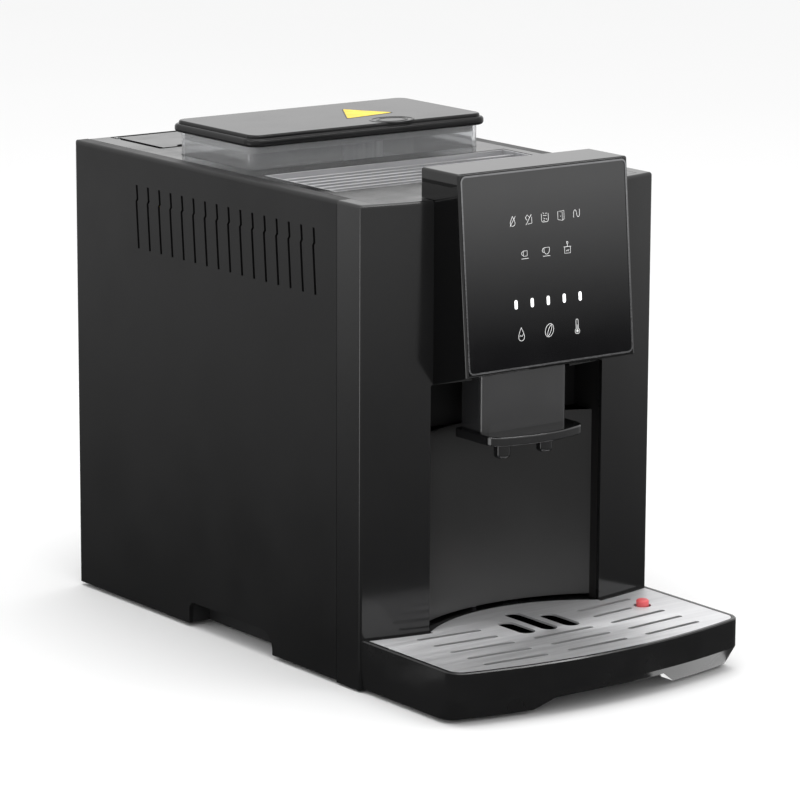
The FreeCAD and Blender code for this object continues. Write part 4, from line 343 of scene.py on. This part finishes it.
def raised_ring(name, centre, reach, width, height, place, steps=72):
    """Oval band with a rounded top."""
    mesh = bpy.data.meshes.new(name)
    form = bmesh.new()
    shoulder = width * 0.7
    bulge = height * 0.75
    profile = [(-width, 0.0), (-shoulder, bulge), (0.0, height), (shoulder, bulge), (width, 0.0)]
    loops = []
    for k in range(steps):
        turn = 2 * math.pi * k / steps
        loops.append([form.verts.new((centre[0] + (reach[0] + r) * math.cos(turn),
                                      centre[1] + (reach[1] + r) * math.sin(turn), z)) for r, z in profile])
    for k in range(steps):
        here = loops[k]
        after = loops[(k + 1) % steps]
        for i in range(len(profile)):
            j = (i + 1) % len(profile)
            form.faces.new((here[i], after[i], after[j], here[j]))
    bmesh.ops.recalc_face_normals(form, faces=form.faces)
    for face in form.faces:
        face.smooth = True
    form.transform(place)
    form.to_mesh(mesh)
    form.free()
    piece = bpy.data.objects.new(name, mesh)
    bpy.context.scene.collection.objects.link(piece)
    return piece


ring_black = polished("ring_black", (0.006, 0.006, 0.006), 0.3)
rings = []
for i, reach in enumerate(RING_REACHES):
    ring = raised_ring(f"lid_ring_{i + 1}", RING_CENTRE, reach, RING_W, RING_H, on_lid)
    ring.data.materials.append(ring_black)
    rings.append(ring)
for piece in (backing, triangle, *rings):
    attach(piece, "hopper_lid")

# ---------------------------------------------------------------- water tank
# Clear smoked tank, moulded open at the top, with a push-in valve at the bottom. It lifts out of
# the rear of the deck.

tank_clear = clear_plastic("tank_clear", (0.72, 0.76, 0.78), 0.05)
dress(tank_clear, "water_tank")
dress(structure_black, "tank_valve")

# ---------------------------------------------------------------- front frame
# One polished black moulding across the whole front, bowed in plan, with the cup bay cut out of it.

front_gloss = polished("front_gloss", (0.0065, 0.0065, 0.0067), 0.13, specular=0.5, haze=0.3)
dress(front_gloss, "front_frame")

# ---------------------------------------------------------------- cup bay
# The hollow back of the bay is a satin, slightly warm black sheet, and the hood over it is matt.

bay_satin = moulded("bay_satin", (0.009, 0.0088, 0.0086), 0.34, texture=0.0009, height=0.00002,
                    specular=0.55, patch=0.2)
dress(bay_satin, "bay_panel")
hood_black = moulded("hood_black", (0.005, 0.005, 0.0051), 0.6, specular=0.2)
dress(hood_black, "spout_guide")

# ---------------------------------------------------------------- control head
# A deep polished hood carries a sheet of black glass printed from behind, held by a thin dark polished rim.
# The icons and the five strength lamps are lit from behind and glow white.

head_gloss = polished("head_gloss", (0.003, 0.003, 0.0031), 0.04, specular=0.5)
dress(head_gloss, "head_shell")

rim_dark = machined("rim_dark", (0.26, 0.26, 0.265), 0.14, (0.2, 1, 1))
dress(rim_dark, "head_bezel")

black_glass, glass_tree, glass_shader = new_finish("black_glass")
tint(glass_tree, noise(glass_tree, 0.05), (0.004, 0.004, 0.0045), (0.006, 0.006, 0.0066),
     glass_shader.inputs["Base Color"])
spread(glass_tree, noise(glass_tree, 0.03, 5.0), 0.02, 0.06, glass_shader.inputs["Roughness"])
relief(glass_tree, glass_shader, noise(glass_tree, 0.02), 0.000004)
glass_shader.inputs["Specular IOR Level"].default_value = 0.9
dress(black_glass, "control_glass")

glass_mesh = nodes["control_glass"].data
facing = max(glass_mesh.polygons, key=lambda f: f.area if f.normal.y < -0.9 else 0.0)
glass_low, glass_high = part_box("control_glass")
outward = facing.normal.copy()
across = Vector((1, 0, 0))
upward = outward.cross(across).normalized()
middle = Vector((0, 0, (glass_low.z + glass_high.z) / 2))
middle.y = facing.center.y - (middle.z - facing.center.z) * outward.z / outward.y
on_glass = Matrix((across, upward, outward)).transposed().to_4x4()
on_glass.translation = middle

LINE_R = 0.00016
LAMP_T = 0.00012
MM = 0.001


def arc(cx, cy, rx, ry, start, end, steps=14):
    turns = [math.radians(start + (end - start) * k / steps) for k in range(steps + 1)]
    return [(cx + rx * math.cos(t), cy + ry * math.sin(t)) for t in turns]


def drop(height, width):
    """Water drop: pointed above, round below."""
    outline = []
    for k in range(29):
        turn = 2 * math.pi * k / 28
        pinch = math.sin(turn / 2) ** 1.5
        outline.append((width / 2 * math.sin(turn) * pinch, height / 2 * math.cos(turn)))
    return outline


def turned(points, degrees):
    c = math.cos(math.radians(degrees))
    s = math.sin(math.radians(degrees))
    return [(x * c - y * s, x * s + y * c) for x, y in points]


def moved(points, dx, dy):
    return [(x + dx, y + dy) for x, y in points]


slash = [(-2.7, -4.2), (2.9, 3.9)]
no_water = [drop(8.4, 6.6), slash]
no_beans = [[(-3.4, 1.6), (-1.4, 3.8), (0.9, 1.5)], [(-3.4, 1.6), (-1.8, -0.6)],
            [(2.9, 1.8), (2.9, -3.5), (-1.2, -3.9)], [(-2.9, -4.4), (2.6, 3.9)]]
grounds_bin = [[(-3.4, 3.2), (-3.4, -2.6), (-2.2, -3.7), (2.2, -3.7), (3.4, -2.6), (3.4, 3.2)],
               [(-2.0, 4.2), (-0.9, 3.0)], [(0.2, 3.4), (2.0, 3.4)], [(-1.9, 1.6), (1.6, 1.6)],
               [(-1.2, -0.4), (0.2, -1.2)], [(1.4, -0.9), (2.0, -2.0)], [(-1.8, -2.2), (-0.4, -2.5)]]
open_door = [[(-3.1, 3.6), (-3.1, -3.2), (1.4, -4.3), (1.4, 2.8), (-3.1, 3.6), (3.1, 4.0), (3.1, -3.1),
              (1.4, -4.3)], [(-0.2, -0.2), (-0.2, -1.0)]]
steam = [moved(arc(0, 0, 1.5, 3.0, 180, 0, 10), -1.8, 0.2)
         + moved(arc(0, 0, 1.5, 3.0, 180, 360, 10), 1.2, 0.2),
         [(-3.3, 0.2), (-3.3, -3.0)], [(2.7, 0.2), (2.7, 3.6)]]
small_cup = [[(-1.5, 2.6), (2.3, 2.6), (2.3, -1.8), (-1.5, -1.8), (-1.5, 2.6)],
             arc(-1.7, 0.6, 1.6, 1.6, 90, 270), [(-3.6, -3.9), (3.6, -3.9)]]
large_cup = [[(-2.2, 3.2), (3.2, 3.2)] + arc(0.5, 1.4, 2.7, 3.8, 0, -180) + [(-2.2, 3.2)],
             arc(-2.4, 1.0, 1.5, 1.7, 90, 270), [(-3.4, -3.9), (3.6, -3.9)]]
hot_pot = [[(-2.9, 1.4), (-2.9, -3.8), (2.9, -3.8), (2.9, 1.4)], [(-3.7, 1.7), (3.7, 1.7)],
           [(0.0, 1.9), (0.0, 4.4)],
           arc(0, 5.2, 0.7, 0.9, -90, 270), [(-1.3, -2.2), (-0.3, -1.0), (0.5, -2.2), (1.5, -0.8)]]
water_drop = [drop(12.0, 8.8), [(-2.2, -2.4), (-1.0, -1.0), (0.6, -2.2), (2.4, 0.6)]]
bean = [turned(arc(0, 0, 4.3, 6.0, 0, 360, 30), -20),
        turned(moved(arc(0, 0, 1.5, 5.2, 90, -90), 0.2, 0), -24),
        turned(moved(arc(0, 0, 1.5, 5.2, 90, 270), 0.4, 0), -24)]
thermometer = [arc(0, -4.2, 2.5, 2.5, 120, 420), arc(0, 5.2, 1.2, 1.4, 0, 180), [(-1.2, 5.2), (-1.2, -2.0)],
               [(1.2, 5.2), (1.2, -2.0)], arc(0, -4.2, 1.1, 1.1, 0, 360), arc(0, -4.2, 0.5, 0.5, 0, 360),
               [(0, -4.0), (0, 1.6)]]

PANEL_X = -1.0
ROWS = [
    (32.9, 13.7, (0.86, 0.80), [no_water, no_beans, grounds_bin, open_door, steam]),
    (10.1, 18.2, (0.86, 0.80), [small_cup, large_cup, hot_pot]),
    (-43.2, 23.9, (0.80, 0.75), [water_drop, bean, thermometer]),
]
LAMP_ROW = (-23.0, 13.7, 5)
LAMP_W = 2.5
LAMP_H = 6.2


def places(pitch, count):
    return [PANEL_X + pitch * (i - (count - 1) / 2) for i in range(count)]


icon_curve = bpy.data.curves.new("panel_icons", "CURVE")
icon_curve.dimensions = "3D"
icon_curve.bevel_depth = LINE_R
icon_curve.bevel_resolution = 1
for height, pitch, size, row in ROWS:
    for x, icon in zip(places(pitch, len(row)), row):
        for stroke in icon:
            line = icon_curve.splines.new("POLY")
            line.points.add(len(stroke) - 1)
            for point, (u, v) in zip(line.points, stroke):
                spot = on_glass @ Vector(((x + u * size[0]) * MM, (height + v * size[1]) * MM, 0.0))
                point.co = (*spot, 1)
icons = bpy.data.objects.new("panel_icons", icon_curve)
bpy.context.scene.collection.objects.link(icons)


def lit(name, colour, strength):
    """White printing lit from behind: a little uneven, as light guides are."""
    material, tree, shader = new_finish(name)
    tint(tree, noise(tree, 0.004), [c * 0.85 for c in colour], colour, shader.inputs["Emission Color"])
    shader.inputs["Base Color"].default_value = (*colour, 1)
    shader.inputs["Emission Strength"].default_value = strength
    spread(tree, noise(tree, 0.002), 0.3, 0.5, shader.inputs["Roughness"])
    return material


icon_light = lit("icon_light", (0.78, 0.78, 0.78), 0.42)
lamp_light = lit("lamp_light", (1.0, 1.0, 1.0), 0.85)
icon_curve.materials.append(icon_light)
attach(icons, "casing")

height, pitch, count = LAMP_ROW
half = (LAMP_H - LAMP_W) / 2
for i, x in enumerate(places(pitch, count)):
    outline = arc(x, height + half, LAMP_W / 2, LAMP_W / 2, 0, 180)
    outline += arc(x, height - half, LAMP_W / 2, LAMP_W / 2, 180, 360)
    lamp = slab(f"strength_lamp_{i + 1}", [(u * MM, v * MM) for u, v in outline], on_glass, -LAMP_T, LAMP_T)
    lamp.data.materials.append(lamp_light)
    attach(lamp, "casing")

# ---------------------------------------------------------------- coffee outlet
# A dark grey satin cover over a black body with a wide lip, and two polished nozzles under it.
# The whole outlet slides up and down in the hood's channel.

spout_grey = moulded("spout_grey", (0.026, 0.026, 0.027), 0.2, texture=0.002, height=0.00001, specular=1.0)
lip_black = polished("lip_black", (0.008, 0.008, 0.0084), 0.1, specular=0.8)
dress(spout_grey, "spout_cover")
dress(lip_black, "spout_body", "spout_nozzles")

# ---------------------------------------------------------------- drip tray, grid and float
# Satin black tray that pulls out on its tongue. Its grid is brushed stainless sheet with punched
# slots, and a red float shows through it when the tray is full.

tray_black = polished("tray_black", (0.006, 0.006, 0.0062), 0.2, specular=0.45)
grid_steel = machined("grid_steel", (0.66, 0.66, 0.67), 0.5, (0.02, 1, 1), height=0.00001, metallic=0.75)
float_red = moulded("float_red", (0.78, 0.11, 0.12), 0.3, texture=0.002, height=0.00001, specular=0.5)
dress(tray_black, "drip_tray", "grounds_box")
dress(grid_steel, "drip_grid")
dress(float_red, "tray_float")

# ---------------------------------------------------------------- studio
# A pale floor under a soft overhead light. What the glossy faces mirror is set by cards that only
# reflections see: a dark ground that gets paler with distance, a front light box, an edge wedge, a card
# under the right of the tray and two strips above.

FLOOR_SIZE = 30.0
FLOOR_GREY = 0.92
FLOOR_T = 0.05
floor_ring = [(-FLOOR_SIZE, -FLOOR_SIZE), (FLOOR_SIZE, -FLOOR_SIZE), (FLOOR_SIZE, FLOOR_SIZE),
              (-FLOOR_SIZE, FLOOR_SIZE)]
floor = slab("studio_floor", floor_ring, Matrix.Identity(4), -FLOOR_T, 0.0)
pale, pale_tree, pale_shader = new_finish("pale_floor")
tint(pale_tree, noise(pale_tree, 0.8, 2.0), (FLOOR_GREY * 0.99,) * 3, (FLOOR_GREY,) * 3,
     pale_shader.inputs["Base Color"])
pale_shader.inputs["Roughness"].default_value = 0.9
pale_shader.inputs["Specular IOR Level"].default_value = 0.0
floor.data.materials.append(pale)
floor.visible_glossy = False


def mirror_only(card, material):
    """A card that lights nothing and is seen only in reflections."""
    card.data.materials.append(material)
    card.visible_camera = False
    card.visible_diffuse = False
    card.visible_transmission = False
    card.visible_volume_scatter = False
    card.visible_shadow = False


def graded_card(name, stops, reach, along):
    """Glowing card whose brightness follows the stops over a distance of reach, measured by along."""
    material = bpy.data.materials.new(name)
    material.use_nodes = True
    tree = material.node_tree
    tree.nodes.clear()
    where = tree.nodes.new("ShaderNodeTexCoord")
    weigh = tree.nodes.new("ShaderNodeMapping")
    weigh.inputs["Scale"].default_value = [a / reach for a in along]
    length = tree.nodes.new("ShaderNodeVectorMath")
    length.operation = "LENGTH"
    ramp = tree.nodes.new("ShaderNodeValToRGB")
    while len(ramp.color_ramp.elements) < len(stops):
        ramp.color_ramp.elements.new(0.5)
    for element, (distance, grey) in zip(ramp.color_ramp.elements, stops):
        element.position = distance / reach
        element.color = (grey, grey, grey, 1)
    glow = tree.nodes.new("ShaderNodeEmission")
    out = tree.nodes.new("ShaderNodeOutputMaterial")
    tree.links.new(where.outputs["Object"], weigh.inputs["Vector"])
    tree.links.new(weigh.outputs["Vector"], length.inputs[0])
    tree.links.new(length.outputs["Value"], ramp.inputs["Fac"])
    tree.links.new(ramp.outputs["Color"], glow.inputs["Color"])
    tree.links.new(glow.outputs["Emission"], out.inputs["Surface"])
    return material


GROUND_STOPS = [(0.0, 0.04), (0.3, 0.1), (1.0, 0.35), (2.0, 0.8), (30.0, 0.95)]
ground = slab("dark_ground", floor_ring, Matrix.Identity(4), -FLOOR_T, 0.0001)
mirror_only(ground, graded_card("ground_glow", GROUND_STOPS, FLOOR_SIZE, (1, 1, 0)))

FRONT_BOX_AZ = math.radians(36.5)
FRONT_BOX_AWAY = 2.7
FRONT_BOX_W = 0.85
FRONT_BOX_H = 1.6
FRONT_BOX_STOPS = [(0.0, 0.02), (0.06, 0.05), (0.134, 0.36), (0.27, 1.1), (1.6, 1.3)]
to_front_box = Vector((math.sin(FRONT_BOX_AZ), -math.cos(FRONT_BOX_AZ), 0))
vertical = Vector((0, 0, 1))
stand = Matrix((to_front_box.cross(vertical), vertical, to_front_box)).transposed().to_4x4()
stand.translation = to_front_box * FRONT_BOX_AWAY + Vector((0, glass_low.y, 0))
box_ring = [(-FRONT_BOX_W / 2, 0), (FRONT_BOX_W / 2, 0), (FRONT_BOX_W / 2, FRONT_BOX_H),
            (-FRONT_BOX_W / 2, FRONT_BOX_H)]
front_box = slab("front_light_box", box_ring, stand, 0.0, 0.02)
mirror_only(front_box, graded_card("front_glow", FRONT_BOX_STOPS, FRONT_BOX_H, (0, 0, 1)))

EDGE_AZ = math.radians(-100.0)
EDGE_HALF = math.radians(14.0)
EDGE_NEAR = 0.05
EDGE_FAR = 2.2
EDGE_STOPS = [(0.0, 0.1), (0.4, 0.6), (1.0, 3.0), (2.2, 4.0)]


def around(azimuth, distance):
    return (distance * math.sin(azimuth), -distance * math.cos(azimuth))


wedge = [around(EDGE_AZ - EDGE_HALF, EDGE_NEAR), around(EDGE_AZ + EDGE_HALF, EDGE_NEAR),
         around(EDGE_AZ + EDGE_HALF, EDGE_FAR), around(EDGE_AZ - EDGE_HALF, EDGE_FAR)]
CORNER_Y = -0.1165
front_corner = Matrix.Translation((cad_box[0].x, CORNER_Y, 0))
edge_strip = slab("edge_strip", wedge, front_corner, 0.0002, 0.0004)
mirror_only(edge_strip, graded_card("edge_glow", EDGE_STOPS, EDGE_FAR, (1, 1, 0)))

tray_low, tray_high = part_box("drip_tray")
APRON_AHEAD = 0.01
APRON_UNDER = 0.03
APRON_GLOW = 1.6
APRON_LEFT = 0.045
apron_ring = [(APRON_LEFT, tray_low.y - APRON_AHEAD), (tray_high.x, tray_low.y - APRON_AHEAD),
              (tray_high.x, tray_low.y + APRON_UNDER), (APRON_LEFT, tray_low.y + APRON_UNDER)]
apron = slab("tray_apron", apron_ring, Matrix.Identity(4), 0.0002, 0.0004)
APRON_STOPS = [(0.0, APRON_GLOW), (FLOOR_SIZE, APRON_GLOW)]
mirror_only(apron, graded_card("apron_glow", APRON_STOPS, FLOOR_SIZE, (1, 1, 0)))

STRIP_GLOW = 14.0
STRIP_W = 0.1
STRIP_L = 1.5
STRIP_STOPS = [(0.0, STRIP_GLOW), (STRIP_L, STRIP_GLOW)]
STRIPS = [("left_strip", -90.0, 40.0), ("front_strip", 20.0, 52.0)]
for name, azimuth, elevation in STRIPS:
    az = math.radians(azimuth)
    el = math.radians(elevation)
    toward = Vector((math.sin(az) * math.cos(el), -math.cos(az) * math.cos(el), math.sin(el)))
    flat = Vector((math.cos(az), math.sin(az), 0))
    hang = Matrix((flat, toward.cross(flat), toward)).transposed().to_4x4()
    hang.translation = toward * STRIP_L + Vector((0, -0.1, 0.2))
    strip_ring = [(-STRIP_L / 2, -STRIP_W / 2), (STRIP_L / 2, -STRIP_W / 2), (STRIP_L / 2, STRIP_W / 2),
                  (-STRIP_L / 2, STRIP_W / 2)]
    strip = slab(name, strip_ring, hang, 0.0, 0.01)
    mirror_only(strip, graded_card(name + "_glow", STRIP_STOPS, STRIP_L, (1, 1, 1)))

world = bpy.data.worlds.new("studio")
bpy.context.scene.world = world
world.use_nodes = True
sky = world.node_tree
backdrop = sky.nodes["Background"]
backdrop.inputs["Color"].default_value = (1, 1, 1, 1)
backdrop.inputs["Strength"].default_value = 1.0


def soft_light(name, size, power, place, target):
    light = bpy.data.lights.new(name, "AREA")
    light.shape = "RECTANGLE"
    light.size, light.size_y = size
    light.energy = power
    lamp = bpy.data.objects.new(name, light)
    lamp.location = place
    lamp.rotation_euler = (Vector(target) - Vector(place)).to_track_quat("-Z", "Y").to_euler()
    bpy.context.scene.collection.objects.link(lamp)
    return lamp


soft_light("overhead", (1.6, 1.6), 18.0, (0.0, -0.2, 1.9), (0, 0, 0.2))

YAW = math.radians(-36.54)
PITCH = math.radians(12.19)
ROLL = math.radians(0.26)
DISTANCE = 2.7268
AIM = Vector((-0.09206, -0.1165, 0.19832))
LENS = 183.413

back = Vector((math.sin(YAW) * math.cos(PITCH), -math.cos(YAW) * math.cos(PITCH), math.sin(PITCH)))
level = Vector((math.cos(YAW), math.sin(YAW), 0))
rise = back.cross(level)
side = level * math.cos(ROLL) + rise * math.sin(ROLL)
top = rise * math.cos(ROLL) - level * math.sin(ROLL)
lens = bpy.data.cameras.new("camera")
lens.lens = LENS
lens.sensor_width = 36
lens.clip_end = 100
camera = bpy.data.objects.new("camera", lens)
aimed = Matrix((side, top, back)).transposed().to_4x4()
camera.matrix_world = Matrix.Translation(AIM + back * DISTANCE) @ aimed
bpy.context.scene.collection.objects.link(camera)
bpy.context.scene.camera = camera
bpy.context.scene.view_settings.view_transform = "Standard"
